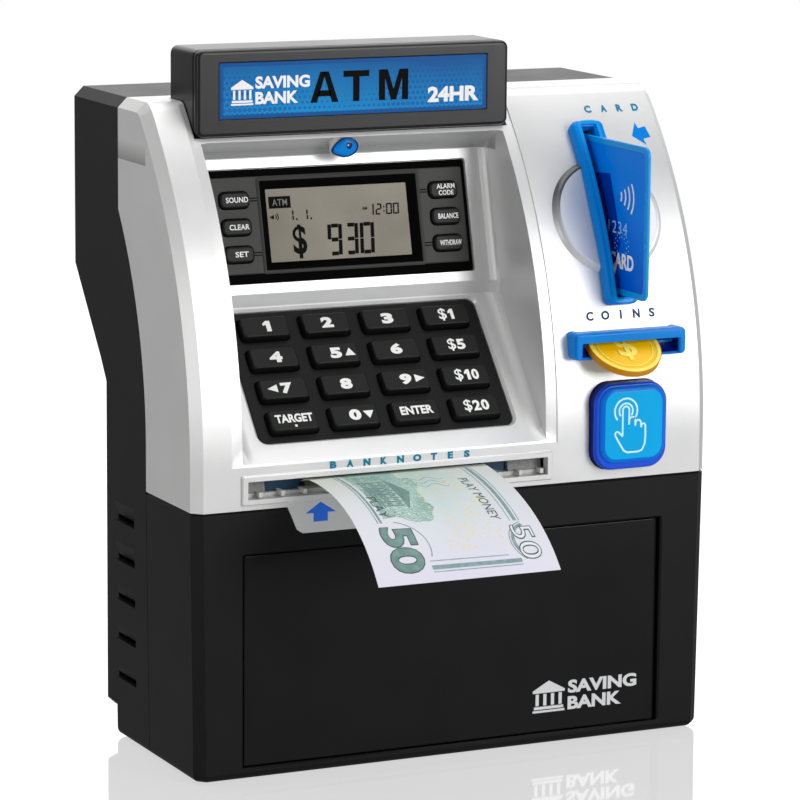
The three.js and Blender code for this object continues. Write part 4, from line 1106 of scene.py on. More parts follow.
def make_display():
    holes = [plug(11.3, 6.2, 2.2, -5, 5, display, centre=function_centre(side, row))
             for _, side, row, _, _ in FUNCTION_KEYS]
    holes.append(plug(57.8, 30.4, 0.4, -5, 5, display, 2))
    base = cut(stack([(95.2, 38.2, 1, -2.3), (95.2, 38.2, 1, -1.1), (94.8, 37.8, 0.8, -0.9)], display),
               *[hole.copy() for hole in holes])
    panel = cut(stack([(93.2, 32.6, 0.8, -1.6), (93.2, 32.6, 0.8, -0.7), (92.6, 32.0, 0.6, -0.4)], display,
                      centre=(-0.2, 0.35)), *holes)
    rim = stack([(60.2, 32.4, 0.8, -1.2), (60.2, 32.4, 0.8, -0.35), (59.2, 31.4, 0.5, -0.02),
                 (58.6, 30.8, 0.4, -0.02), (57.8, 30.0, 0.3, -0.4), (57.8, 30.0, 0.3, -1.2)],
                display, True, 2)
    well = stack([(57.8, 30.0, 0.25, -1.2), (57.8, 30.0, 0.25, -0.38), (57.4, 29.6, 0.25, -0.38),
                  (*LCD_WINDOW, 0.25, LCD_LIFT), (*LCD_WINDOW, 0.25, LCD_LIFT - 0.3),
                  (57.8, 30.0, 0.25, LCD_LIFT - 0.3)], display, True, 2)
    traces = []
    for side, row in ((-1, 0), (-1, 2), (1, 0), (1, 2)):
        middle_u, v = function_centre(side, row)
        for offset in (-0.45, 0.45):
            line = [(side * 29.6, v + offset), (middle_u - side * 5.7, v + offset)]
            traces.append(settle(stroke(line, 0.34), display, -0.6, -0.33))
    piece("display_panel", [(join(base, *traces), bezel_black), (panel, bezel_grey), (rim, bezel_grey),
                            (well, bezel_black)], "housing", ["display_bezel"])
    make_lcd()
    for name, side, row, lines, widths in FUNCTION_KEYS:
        centre = function_centre(side, row)
        levels = [(0, -4.4), (0, 0.1), (0.12, 0.5), (0.4, 0.78), (0.85, 0.9)]
        cap = slab(10.6, 5.5, 1.9, levels, display, 6, centre)
        height = 1.85 if len(lines) == 1 else 1.7
        rises = (0.0,) if len(lines) == 1 else (1.12, -1.12)
        words = [legend(word, width, height, display, 0.86, 0.95, (centre[0] + 0.7, centre[1] + rise), 0.02,
                        1.04) for word, width, rise in zip(lines, widths, rises)]
        piece(name + "_cap", [(cap, key_black), (join(*words), legend_white)], name, [name])


SEGMENTS = {"0": "abcdef", "1": "bc", "2": "abged", "3": "abgcd", "9": "abcfgd"}


def digit(character, width, height, thick, centre, lean=0.06):
    """A seven-segment digit as a row of shapes."""
    w, h, t = width / 2, height / 2, thick / 2
    gap = thick * 0.1
    level = (-w + t + gap, w - t - gap)
    upper, lower = (gap, h + t * 0.7), (-h - t * 0.7, -gap)
    left, right = (-w - t, t - w), (w - t, w + t)
    boxes = {
        "a": (*level, h - t, h + t), "g": (*level, -t, t), "d": (*level, -h - t, t - h),
        "f": (*left, *upper), "e": (*left, *lower), "b": (*right, *upper), "c": (*right, *lower),
    }
    shapes = []
    for segment in SEGMENTS[character]:
        u0, u1, v0, v1 = boxes[segment]
        shapes.append(cutout([(centre[0] + u + lean * v, centre[1] + v) for u, v in rect(u0, v0, u1, v1)]))
    return shapes


def box_at(u, v, half_u, half_v):
    return cutout(rect(u - half_u, v - half_v, u + half_u, v + half_v))


def make_lcd():
    """The glass and what it shows: an amount, a date, a time and two small signs."""
    def at(across, down):
        return ((across - 0.5) * LCD_WINDOW[0], (0.5 - down) * LCD_WINDOW[1])

    glass = plug(56, 28, 0.3, -4.7, LCD_LIFT - 0.05, display, 2)
    shapes = []
    for character, across in (("9", 0.46), ("3", 0.575), ("0", 0.69)):
        shapes += digit(character, 4.0, 9.4, 1.3, at(across, 0.735))
    for character, across in (("1", 0.735), ("2", 0.79), ("0", 0.865), ("0", 0.915)):
        shapes += digit(character, 1.7, 3.3, 0.5, at(across, 0.35))
    for down in (0.32, 0.38):
        shapes.append(box_at(*at(0.828, down), 0.25, 0.25))
    for across in (0.18, 0.28):
        u, v = at(across, 0.37)
        shapes.append(stroke([(u, v + 1.6), (u, v + 0.15)], 0.5))
        shapes.append(stroke([(u, v - 0.15), (u, v - 1.6)], 0.5))
        shapes.append(box_at(u + 1.3, v - 1.4, 0.3, 0.3))
    u, v = at(0.045, 0.385)
    shapes.append(cutout([(u - 1.4, v - 0.3), (u - 0.8, v - 0.3), (u, v - 0.9), (u, v + 0.9),
                          (u - 0.8, v + 0.3), (u - 1.4, v + 0.3)]))
    for radius in (0.9, 1.6):
        shapes.append(stroke(arc((u, v), radius, -45, 45, 8), 0.3))
    low, high = LCD_LIFT - 0.1, LCD_LIFT + 0.02
    solids = [settle(shape, display, low, high) for shape in shapes]
    dollar = legend("$", 5.0, 11.4, display, low, high, at(0.212, 0.735), 0.022)
    small = legend("AM", 1.8, 1.1, display, low, high, at(0.69, 0.33), 0.01)
    tag_centre = at(0.094, 0.185)
    tag = settle(box_at(0, 0, 4.0, 2.0), display, low, high, tag_centre)
    letters = legend("ATM", 5.4, 2.2, display, low, high + 0.04, tag_centre, 0.01, 1.1)
    piece("lcd_panel", [(glass, lcd_look()), (join(*solids, dollar, small, tag), ink_black),
                        (letters, lcd_pale)], "housing", ["lcd_screen"])


def lcd_look():
    """The dull grey-green of a liquid crystal panel, with faint lines."""
    look = plain_look("lcd_look", (0.17, 0.16, 0.13), 0.4, specular=0.15)
    graph = Graph(look)
    slow = graph.noise(30.0, 2.0)
    lines = graph.noise(900.0, 1.0, (6, 1, 1))
    both = graph.math("MULTIPLY_ADD", lines, 0.15, graph.math("MULTIPLY", slow, 0.85))
    tint = graph.ramp(both, [(0.3, (0.22, 0.198, 0.158)), (0.7, (0.32, 0.295, 0.24))])
    graph.colour(tint)
    return look


# ---- keypad ------------------------------------------------------------------------------------

PAD_KEYS = [
    ["key_1", "key_2", "key_3", "key_plus_1"], ["key_4", "key_5", "key_6", "key_plus_5"],
    ["key_7", "key_8", "key_9", "key_plus_10"], ["key_target", "key_0", "key_enter", "key_plus_20"],
]
# The word, its width and height, and how far it stands right of the key's middle.
PAD_LEGENDS = {
    "key_1": ("1", 2.7, 4.1, 0.6), "key_2": ("2", 4.3, 4.1, 0.3), "key_3": ("3", 4.3, 4.1, 0.3),
    "key_4": ("4", 4.6, 4.1, 0.4), "key_5": ("5", 4.2, 4.1, 0.0), "key_6": ("6", 4.3, 4.1, 0.0),
    "key_7": ("7", 4.2, 4.1, 0.9), "key_8": ("8", 4.3, 4.1, 0.2), "key_9": ("9", 4.3, 4.1, -0.1),
    "key_0": ("0", 4.3, 4.1, -0.1), "key_plus_1": ("$1", 5.9, 4.9, 0.3), "key_plus_5": ("$5", 6.4, 4.9, 0.3),
    "key_plus_10": ("$10", 8.8, 4.9, 0.4), "key_plus_20": ("$20", 9.2, 4.9, 0.2),
    "key_target": ("TARGET", 13.4, 3.2, 0.2), "key_enter": ("ENTER", 12.0, 3.2, 0.2),
}
# The place of the small mark on a key, and the mark's outline.
PAD_MARKS = {
    "key_5": ((5.1, 0.1), [(-1.9, -1.4), (1.9, -1.4), (0, 1.5)]),
    "key_7": ((-4.1, 0.1), [(1.7, -1.5), (1.7, 1.5), (-1.9, 0)]),
    "key_9": ((5.0, 0.1), [(-1.7, -1.5), (1.9, 0), (-1.7, 1.5)]),
    "key_0": ((4.9, -0.1), [(-1.9, 1.3), (0, -1.6), (1.9, 1.3)]),
    "key_target": ((0.2, -2.4), rect(-0.4, -0.4, 0.4, 0.4)),
}


PAD_INK = (1.45, 1.56)
PAD_PITCH = (22.2, 12.05)


def key_word(text, width, height, centre):
    """A key's legend; the dollar sign and the figure one are drawn apart from the rest."""
    low, high = PAD_INK
    if text == "1":
        return settle(cutout([(u * width, v * height) for u, v in DIGIT_ONE]), keypad, low, high, centre)
    if text[0] != "$":
        return legend(text, width, height, keypad, low, high, centre, 0.06 if len(text) == 1 else 0.035)
    sign, gap = 2.9, 0.3
    start = centre[0] - width / 2
    parts = [legend("$", sign, height, keypad, low, high, (start + sign / 2, centre[1]), 0.012)]
    left = start + 3.3
    each = (width - 3.3 - gap * (len(text) - 2)) / (len(text) - 1)
    for figure in text[1:]:
        spot = (left + each / 2, centre[1])
        if figure == "1":
            shape = cutout([(u * 2.0, v * 4.0) for u, v in DIGIT_ONE])
            parts.append(settle(shape, keypad, low, high, spot))
        else:
            parts.append(legend(figure, each, 4.0, keypad, low, high, spot, 0.04))
        left += each + gap
    return join(*parts)


def make_keypad():
    plate = stack([(92.8, 50, 3.0, -2.7), (92.8, 50, 3.0, -1.5), (92.5, 49.7, 2.9, -1.15),
                   (91.9, 49.1, 2.6, -1.0)], keypad)
    holes = []
    for row, names in enumerate(PAD_KEYS):
        for column, name in enumerate(names):
            centre = ((column - 1.5) * PAD_PITCH[0], (1.5 - row) * PAD_PITCH[1])
            holes.append(stack([(17.7, 8.6, 1.5, -5), (17.7, 8.6, 1.5, -1.35), (18.5, 9.4, 1.9, -0.95),
                                (18.5, 9.4, 1.9, 3)], keypad, centre=centre, steps=4))
            cap = stack([(17.0, 7.9, 1.2, -5), (17.0, 7.9, 1.2, -1.2), (16.7, 7.6, 1.2, 0.75),
                         (16.5, 7.4, 1.2, 1.15), (16.1, 7.0, 1.1, 1.4), (15.5, 6.4, 0.9, 1.5)], keypad,
                        centre=centre, steps=5)
            text, width, height, shift = PAD_LEGENDS[name]
            rise = 0.5 if name == "key_target" else 0.0
            words = key_word(text, width, height, (centre[0] + shift, centre[1] + rise))
            if name in PAD_MARKS:
                (u, v), points = PAD_MARKS[name]
                words = join(words, settle(cutout(points), keypad, *PAD_INK, (centre[0] + u, centre[1] + v)))
            piece(name + "_cap", [(cap, key_black), (words, legend_white)], name, [name])
    piece("keypad_mat", [(cut(plate, *holes), pad_black)], "housing", ["keypad_plate"])


def make_eye():
    """A blue teardrop lens on a silver seat, with a dark outline, a pupil and a white dot that paints a
    highlight on the lens.
    """
    def drop(scale, lift, sides=48):
        points = []
        for i in range(sides):
            angle = math.tau * i / sides
            u, v = EYE["width"] * math.cos(angle), 3.15 * math.sin(angle)
            tip = max(0.0, -math.cos(angle))
            v = v * (1 - 0.3 * tip) - 0.9 * tip * tip
            points.append(eye_face(u * scale, v * scale, lift))
        return points

    def button(radius, centre, low, high):
        levels = ((1.0, low), (1.0, high - 0.12), (0.8, high - 0.02), (0.4, high))
        return loft([ellipse(eye_face, radius * scale, 1.15 * radius * scale, lift, 24, centre)
                     for scale, lift in levels])

    dome = loft([drop(scale, lift) for scale, lift in (
        (1.0, -2.4), (1.0, 0.1), (0.93, 0.4), (0.8, 0.65), (0.55, 0.85), (0.25, 0.95), (0.05, 0.96))])
    pupil = button(1.15, (1.1, 0.7), 0.2, 1.0)
    # Painted highlight: a white dot standing for the glint on the lens.
    painted_glint = button(0.3, (0.75, 0.9), 0.4, 1.1)
    outline = loft([drop(1.12, -0.4), drop(1.12, 0.12), drop(0.98, 0.3), drop(0.98, -0.4)], closed=True)
    foot = [eye_ring(EYE["width"] * 1.1, EYE["height"] * 1.1, lift, 48) for lift in (-7, -2.5)]
    seat = loft([*foot, drop(1.2, -0.7), drop(1.1, -0.05)])
    piece("eye_lens", [(dome, blue), (pupil, navy), (painted_glint, legend_white), (outline, navy), (seat, silver)],
          "housing", ["camera_eye"])


# ---- card, coin and button ---------------------------------------------------------------------

def denser(outline, width, height, step, steps):
    """Adds points along the straight sides of a rounded outline, as many as that width and height need."""
    sides = [max(1, round(width / step)), max(1, round(height / step))]
    made = []
    for corner in range(4):
        made += outline[corner * (steps + 1):(corner + 1) * (steps + 1)]
        here = outline[(corner + 1) * (steps + 1) - 1]
        there = outline[((corner + 1) * (steps + 1)) % len(outline)]
        count = sides[corner % 2]
        made += [(here[0] + (there[0] - here[0]) * i / count, here[1] + (there[1] - here[1]) * i / count)
                 for i in range(1, count)]
    return made


def make_card_bezel():
    """A blue frame that bends with the front, with a lip round its slot in a lighter blue as a painted
    highlight.
    """
    low, high = along(149), along(207.0)
    slot_low, slot_high = along(CARD_SLOT[0]), along(CARD_SLOT[1] - 1.4)
    middle = (low + high) / 2
    shift = (slot_low + slot_high) / 2 - middle
    width, length = 12.4, high - low
    slot_width, slot_length = 4.6, slot_high - slot_low

    def ring(size, radius, lift, rise=0.0):
        outline = denser(rounded(*size, radius, 6), width, length, 2.5, 6)
        return [on_front(RIGHT_X + u, middle + v + rise, lift) for u, v in outline]

    def mouth(grow, lift):
        return ring((slot_width + 2 * grow, slot_length + 2 * grow), 0.4 + grow, lift, shift)

    outside = ((0, 0.2), (0, 2.4), (0.15, 3.1), (0.55, 3.75), (1.1, 4.1), (1.7, 4.2))
    inside = ((0.7, 4.2), (0.5, 4.05), (0.4, 3.6), (0.05, 3.4), (0.05, 0.2))
    lip = ((1.9, 4.1), (1.9, 4.3), (1.6, 4.38), (1.0, 4.38), (0.7, 4.3), (0.7, 4.1))
    rings = [ring((width - 2 * inset, length - 2 * inset), max(2.6 - inset, 0.4), lift)
             for inset, lift in outside]
    body = loft(rings + [mouth(*level) for level in inside], closed=True)
    # Painted highlight: the lip round the slot is a lighter blue than the frame.
    light = loft([mouth(*level) for level in lip], closed=True)
    piece("card_slot_bezel", [(body, blue), (light, blue_light)], "housing", ["card_bezel"])


CARD = {"front": -13.0, "length": 85.6, "bottom": 152.6, "top": 204.3}


def make_card():
    """A play card: raised light edge, printed face, contactless waves, four digits and a word."""
    length, height = CARD["length"], CARD["top"] - CARD["bottom"]
    middle = (CARD["front"] + length / 2, (CARD["bottom"] + CARD["top"]) / 2)

    def carry(u, v, w):
        return (RIGHT_X - w, middle[0] - u, middle[1] + v)

    def spot(y, z):
        return (middle[0] - y, z - middle[1])

    rim = stack([(length, height, 3.2, -0.5), (length, height, 3.2, 0.3),
                 (length - 0.4, height - 0.4, 3.0, 0.5), (length - 4.0, height - 4.0, 1.6, 0.5),
                 (length - 4.4, height - 4.4, 1.5, 0.32)], carry)
    art = plug(length - 4.3, height - 4.3, 1.5, 0.25, 0.36, carry)
    low, high = 0.3, 0.44
    waves = [settle(stroke(arc(spot(7.5 - 0.9 * i, 186), 2.4 + 1.9 * i, -38, 38, 12), 0.75), carry, low, high)
             for i in range(4)]
    numbers = legend("1234", 13.0, 4.2, carry, low, high, spot(7.4, 175.3), 0.0, 1.15)
    word = legend("CARD", 17.0, 5.4, carry, low, high, spot(4.6, 164.2), 0.03)
    dots = []
    for radius, count, start in ((3.4, 12, 0), (4.8, 18, 0.5)):
        for i in range(count):
            angle = math.tau * (i + start) / count
            u, v = spot(4.5, 169)
            u, v = u + radius * math.cos(angle), v + radius * math.sin(angle)
            r = 0.32
            diamond = cutout([(u - r, v), (u, v - r), (u + r, v), (u, v + r)])
            dots.append(settle(diamond, carry, low, high - 0.04))
    wedge = settle(cutout([spot(26, 192), spot(13.5, 193), spot(8.5, 180), spot(5.5, 170), spot(11, 154.8),
                           spot(26, 154.8)]), carry, low, high - 0.06)
    piece("card_body", [(rim, blue_light), (art, card_art_look()), (join(*waves, word), legend_white),
                        (join(numbers, *dots), card_pale), (wedge, card_shade)],
          "card", ["card"])


def card_art_look():
    """Glossy blue print, lighter to the top and the outer edge, with soft clouds."""
    look = plain_look("card_art", (0.0, 0.1, 0.6), 0.25, specular=0.08)
    graph = Graph(look)
    axes = graph.axes()
    share = graph.math("MULTIPLY_ADD", axes["Z"], 19.0, -2.9)
    share = graph.math("MULTIPLY_ADD", axes["Y"], -9.0, share)
    share = graph.math("MULTIPLY_ADD", graph.noise(50.0, 3.0), 0.3, share)
    tint = graph.ramp(share, [(0.1, (0.0, 0.045, 0.46)), (0.55, (0.0, 0.115, 0.68)),
                              (1.0, (0.0, 0.21, 0.84))])
    graph.colour(tint)
    graph.bump(graph.noise(2500.0, 2.0), 0.000008)
    return look


coin_frame = sloped(RIGHT_X, -1.0, 136.8, 55)


def coin_hole_liner():
    """A thin dark sleeve in the coin hole, painted shade inside it. Its ends are upright, as the bezel's face
    is.
    """
    origin = coin_frame(0, 0, 0)
    per_v = coin_frame(0, 1, 0)[1] - origin[1]
    per_w = coin_frame(0, 0, 1)[1] - origin[1]

    def ring(width, height, y):
        return [coin_frame(u, (y - origin[1] - w * per_w) / per_v, w)
                for u, w in rounded(width, height, 0.3, 2)]

    front, back = -2.0, 1.5
    return loft([ring(36.9, 4.5, back), ring(36.9, 4.5, front),
                 ring(36.4, 4.1, front), ring(36.4, 4.1, back)], closed=True)


def make_coin_bezel():
    """A blue frame with a sloping channel for the coin, closed behind by the curve of the front."""
    body = stack([(42.4, 9.2, 1.6, -6), (42.4, 9.2, 1.6, 1.6), (42.1, 8.9, 1.5, 2.4), (41.5, 8.3, 1.2, 2.95),
                  (40.6, 7.4, 0.9, 3.2)], sloped(RIGHT_X, 0, 137, 0))
    front = [(on_front(0, along(z), 0)[1] - 0.2, z) for z in (150, 145, 140, 137, 133, 128, 120)]
    behind = prism_x([(HALF, 120), (HALF, 150), *front], RIGHT_X - 40, RIGHT_X + 40)
    channel = plug(37.0, 4.6, 0.4, -20, 20, lambda u, v, w: coin_frame(u, w, v), 2)
    mouth = stack([(38.2, 6.4, 0.6, 3.6), (37.0, 5.2, 0.4, 2.7), (37.0, 5.2, 0.4, 2.2)],
                  sloped(RIGHT_X, 0, 135.4, 0), steps=2)
    # The dark sleeve paints the shade inside the coin hole.
    piece("coin_slot_bezel", [(cut(body, behind, channel, mouth), blue), (coin_hole_liner(), blue_painted_shade)],
          "housing", ["coin_bezel"])


def make_coin():
    """A play coin: plain rims, a ring and a dollar sign on both faces; the raised relief is a paler gold as
    painted highlight and the edge a deeper gold as painted shade.
    """
    left, forward, sunk, half = -2, -0.4, -1.0, 1.35

    def carry(u, v, w):
        return coin_frame(u + left, forward + v, sunk + w)

    def circle(radius, lift):
        return ellipse(carry, radius, radius, lift, 96)

    def tyre(side, *levels):
        return loft([circle(radius, side * (half - depth)) for radius, depth in levels], closed=True)

    wall = loft([circle(13.05, -half + 0.1), circle(13.25, -half + 0.3), circle(13.25, half - 0.3),
                 circle(13.05, half - 0.1), circle(11.6, half - 0.2), circle(11.6, -half + 0.2)], closed=True)
    rims = [tyre(side, (13.05, 0.15), (12.8, 0), (11.7, 0), (11.4, 0.4), (11.4, 0.6)) for side in (-1, 1)]
    rings = [tyre(side, (10.3, 0.4), (10.2, 0.18), (9.9, 0.18), (9.8, 0.4)) for side in (-1, 1)]
    plate = loft([circle(11.9, -half + 0.42), circle(11.9, half - 0.42)])
    sign = settle(glyphs("$", 7.0, 12.5, 0.015), carry, half - 0.4, half - 0.05, (0, -1.0))
    under = settle(glyphs("$", 7.0, 12.5, 0.015), lambda u, v, w: carry(-u, v, w),
                   -half + 0.05, -half + 0.4, (0, -1.0))
    # Painted light: the edge wall takes the darker gold, and the raised rims, rings and signs take the paler
    # gold.
    piece("coin_body", [(wall, gold_painted_shade), (plate, gold), (join(*rims, *rings, sign, under), gold_painted_highlight)],
          "coin", ["coin"])


# The pointing hand, round the middle of the button. A finger is a start, an end, a top and a radius.
FINGERS = [
    ((-2.89, -2.98), (-0.44, 0.88), 5.96, 1.23), ((-0.44, 0.88), (1.93, 0.35), 2.28, 1.14),
    ((1.93, 0.35), (4.12, -0.35), 1.23, 1.05),
]
PALM = [
    (4.12, -0.35), (4.21, 0.18), (4.56, 0.88), (5.26, 0.96), (5.79, 0.35), (5.88, -3.33), (5.61, -6.14),
    (4.56, -8.16), (2.89, -8.6), (-1.05, -8.6), (-2.37, -7.89), (-3.77, -5.79), (-5.61, -2.72), (-5.7, -1.75),
    (-5.09, -1.23), (-4.3, -1.58), (-2.89, -2.98),
]
FINGER_TIP = (-1.67, 5.61)


def finger_line(start, end, top, radius):
    middle = (start[0] + end[0]) / 2
    bend = [(middle - radius * math.cos(math.pi * i / 8), top + radius * math.sin(math.pi * i / 8))
            for i in range(9)]
    return [start, *bend, end]


def make_touch():
    """A blue button in a deep blue frame, with a pointing hand and two ripples printed on it; the frame's
    side wall is painted dark navy as shade.
    """
    face = sloped(RIGHT_X, 0, 109.2, 0)
    # Painted shade: the frame's side wall is dark navy where shade falls at its junction with the face.
    wall = plug(27.6, 29.6, 7.0, -4, 2.4, face, 10)
    base = stack([(27.4, 29.4, 6.9, 2.3), (27.5, 29.5, 6.95, 2.6), (27.2, 29.2, 6.8, 3.4),
                  (26.4, 28.4, 6.4, 3.95), (25.6, 27.6, 6.0, 4.1)], face, steps=10)
    stem = block(RIGHT_X - 4, RIGHT_X + 4, 3, 6.5, 105.2, 113.2)
    cap_centre = (0.1, 0.7)
    edge = stack([(24.9, 26.2, 5.8, 3.8), (24.9, 26.2, 5.8, 4.3), (24.3, 25.6, 5.5, 4.9),
                  (23.2, 24.5, 5.0, 5.25), (21.8, 23.1, 4.4, 5.42), (21.6, 22.9, 4.3, 3.8)],
                 face, True, 10, cap_centre)
    cap = stack([(21.8, 23.1, 4.4, 4.6), (21.8, 23.1, 4.4, 5.4), (21.2, 22.5, 4.1, 5.5)], face, steps=10,
                centre=cap_centre)
    line_width, low, icon_centre = 0.62, 5.4, (-1.35, 0.0)
    lines = [*[finger_line(*finger) for finger in FINGERS], PALM]
    marks = [settle(stroke(line, line_width), face, low, 5.54 + 0.02 * i, icon_centre)
             for i, line in enumerate(lines)]
    for radius, start, end in ((4.3, -42, 222), (2.6, -38, 218)):
        ripple = arc(FINGER_TIP, radius, start, end, 24)
        marks.append(settle(stroke(ripple, line_width), face, low, 5.56, icon_centre))
    piece("touch_pad", [(join(base, stem), blue_deep), (wall, blue_painted_shade), (edge, blue_edge), (cap, blue_cap),
                        (join(*marks), icon_white)], "touch_button", ["touch_button"])


# ---- prints on the front -----------------------------------------------------------------------

# How wide each letter of the spaced words is, as a share of its height.
LETTER_WIDTHS = {"A": 0.78, "B": 0.78, "C": 0.85, "D": 0.85, "E": 0.65, "I": 0.22, "K": 0.78,
                 "M": 1.0, "N": 0.85, "O": 1.0, "R": 0.78, "S": 0.68, "T": 0.75}


def spaced(text, x0, x1, z, height, weight, spread=1.0):
    """A word in single letters with even gaps from x0 to x1, on the curved front."""
    letters = []
    for i, letter in enumerate(text):
        place = front_at(x0 + (x1 - x0) * i / (len(text) - 1), z)
        width = height * spread * LETTER_WIDTHS[letter]
        letters.append(legend(letter, width, height, place, -0.25, 0.12, (0, 0), weight))
    return join(*letters)


def make_prints():
    card_word = spaced("CARD", 67.2, 85.6, 211.9, 2.9, 0.04)
    coin_word = spaced("COINS", 51.2, 75.0, 146.0, 3.1, 0.04)
    note_word = spaced("BANKNOTES", -45.8, 3.0, 103.6, 2.4, 0.06, 1.25)
    arrow = [(-2.9, 0), (0.3, 3.2), (0.3, 1.5), (2.9, 1.5), (2.9, -1.5), (0.3, -1.5), (0.3, -3.2)]
    arrows = []
    for stretch, place, turn in (((1.15, 1.45), front_at(84.2, 203.5), 12),
                                 ((1.12, 1.7), sloped(-50.2, 0, 88.4, 0), -90)):
        shape = cutout([(u * stretch[0], v * stretch[1]) for u, v in arrow])
        arrows.append(settle(shape, place, -0.05, 0.05, (0, 0), turn))
    piece("front_print", [(arrows[0], blue), (join(card_word, note_word), blue_print), (coin_word, ink_navy),
                          (arrows[1], blue_arrow)], "housing", ())


# ---- banknote ----------------------------------------------------------------------------------

NOTE_WIDTH = 64.8
NOTE_LEVEL = 96.8
NOTE_THICKNESS = 0.14
NOTE_TWIST = 2.4


def bezier(points, steps):
    made = []
    for i in range(steps + 1):
        t = i / steps
        row = points
        while len(row) > 1:
            row = [(a[0] + (b[0] - a[0]) * t, a[1] + (b[1] - a[1]) * t) for a, b in zip(row, row[1:])]
        made.append(row[0])
    return made


def note_path():
    """Points of the note's underside from the free end to the inner end, as (y, z)."""
    droop = bezier([(-54.2, 74.6), (-42.5, 89.5), (-24.0, 98.2), (0.5, 99.1)], 36)
    bend = bezier([(0.5, 99.1), (4, 99.3), (4, NOTE_LEVEL + 0.3), (12, NOTE_LEVEL)], 16)
    return [*droop, *bend[1:], (30.0, NOTE_LEVEL), (62.0, NOTE_LEVEL)]


def note_carry():
    """A frame on the note's upper face: u across it, v from its free end inwards."""
    path = note_path()
    lengths = [0.0]
    for a, b in zip(path, path[1:]):
        lengths.append(lengths[-1] + math.hypot(b[0] - a[0], b[1] - a[1]))

    def carry(u, v, w):
        v = min(max(v, 0.0), lengths[-1])
        i = 0
        while i < len(path) - 2 and lengths[i + 1] < v:
            i += 1
        share = (v - lengths[i]) / (lengths[i + 1] - lengths[i])
        (y0, z0), (y1, z1) = path[i], path[i + 1]
        span = math.hypot(y1 - y0, z1 - z0)
        y, z = y0 + (y1 - y0) * share, z0 + (z1 - z0) * share
        lift = w + 2 * NOTE_THICKNESS
        twist = -u / NOTE_WIDTH * NOTE_TWIST * math.sin(math.pi * min(1.0, v / 62))
        return (FACE_X + u, y - (z1 - z0) / span * lift, z + twist + (y1 - y0) / span * lift)
    return carry, lengths


def bank_picture(width, height):
    """A plain bank building for the play note: roof, columns, windows and steps."""
    shapes = [[(-0.5, 0.62), (0.5, 0.62), (0.5, 0.66), (0, 0.95), (-0.5, 0.66)],
              rect(-0.5, 0.0, 0.5, 0.05), rect(-0.46, 0.08, 0.46, 0.12)]
    for i in range(8):
        x = -0.42 + 0.12 * i
        shapes.append(rect(x - 0.018, 0.15, x + 0.018, 0.59))
        if i < 7:
            shapes += [rect(x + 0.04, z, x + 0.08, z + 0.12) for z in (0.2, 0.42)]
    return join(*[cutout([(u * width, (v - 0.5) * height) for u, v in shape]) for shape in shapes])


def make_note():
    """The play note: a bent sheet with its print laid on it as thin solids."""
    carry, lengths = note_carry()
    half, columns, inked = NOTE_WIDTH / 2, 16, 0.04
    rings = []
    for v in lengths:
        top = [carry(NOTE_WIDTH * (i / columns - 0.5), v, 0) for i in range(columns + 1)]
        under = [carry(NOTE_WIDTH * (i / columns - 0.5), v, -NOTE_THICKNESS) for i in range(columns, -1, -1)]
        rings.append(top + under)
    sheet = loft(rings)

    def ink(bm, centre, high=0.05):
        """Prints a shape, turned to be read from the note's side, in faces small enough to bend."""
        bmesh.ops.triangulate(bm, faces=bm.faces)
        for _ in range(3):
            long_edges = [e for e in bm.edges if e.calc_length() > 1.6]
            bmesh.ops.subdivide_edges(bm, edges=long_edges, cuts=1)
            bmesh.ops.triangulate(bm, faces=bm.faces)
        return settle(bm, carry, 0.0, high, centre, -90)

    def line(points, width):
        return settle(stroke(points, width), carry, 0.0, inked)

    fifty = ink(glyphs("50", 18.6, 12.0, 0.05), (-half + 12.8, 12.8))
    fill = ink(glyphs("50", 17.9, 11.2, 0.03), (-half + 12.8, 12.8), 0.09)
    building = ink(bank_picture(21.0, 15.0), (-half + 20.5, 42.0))
    outline = ink(glyphs("50", 15.0, 7.8, 0.02), (half - 8.0, 12.5))
    inner = ink(glyphs("50", 14.2, 7.1, -0.012), (half - 8.0, 12.5), 0.09)
    long_word = ink(glyphs("PLAY MONEY", 27.0, 3.3), (half - 14.6, 36.5))
    short_word = ink(glyphs("PLAY", 12.5, 3.2), (-half + 12.0, 33.0))
    lines = []
    for u, start, width in ((-half + 8.2, 24, 0.35), (-half + 9.4, 24, 0.9), (half - 10.2, 22, 0.3),
                            (half - 8.4, 22, 1.3), (half - 6.9, 22, 0.3)):
        lines.append(line([(u, start + (60 - start) * i / 24) for i in range(25)], width))
    for v, end, width in ((5.0, 20.0, 1.5), (7.4, 16.0, 0.3), (3.4, 20.0, 0.3)):
        lines.append(line([(-12.0 + (end + 12.0) * i / 12, v) for i in range(13)], width))
    for radius, width in ((9.2, 0.35), (8.0, 1.2)):
        lines.append(line(arc((half - 4.5, 12.5), radius, 108, 232, 24), width))
    lines.append(line(arc((-half + 10.5, 13.0), 11.8, -20, 74, 24), 0.35))
    for row in range(3):
        wave = [(-3.0 + 14.0 * i / 40, 46.0 + 3.0 * row + 1.2 * math.sin(0.3 * i)) for i in range(41)]
        lines.append(line(wave, 0.22))
    piece("note_sheet", [(sheet, note_look()), (join(fifty, outline, long_word, short_word), note_ink),
                         (inner, note_pale), (join(fill, building), note_green), (join(*lines), note_line)],
          "banknote", ["banknote"])


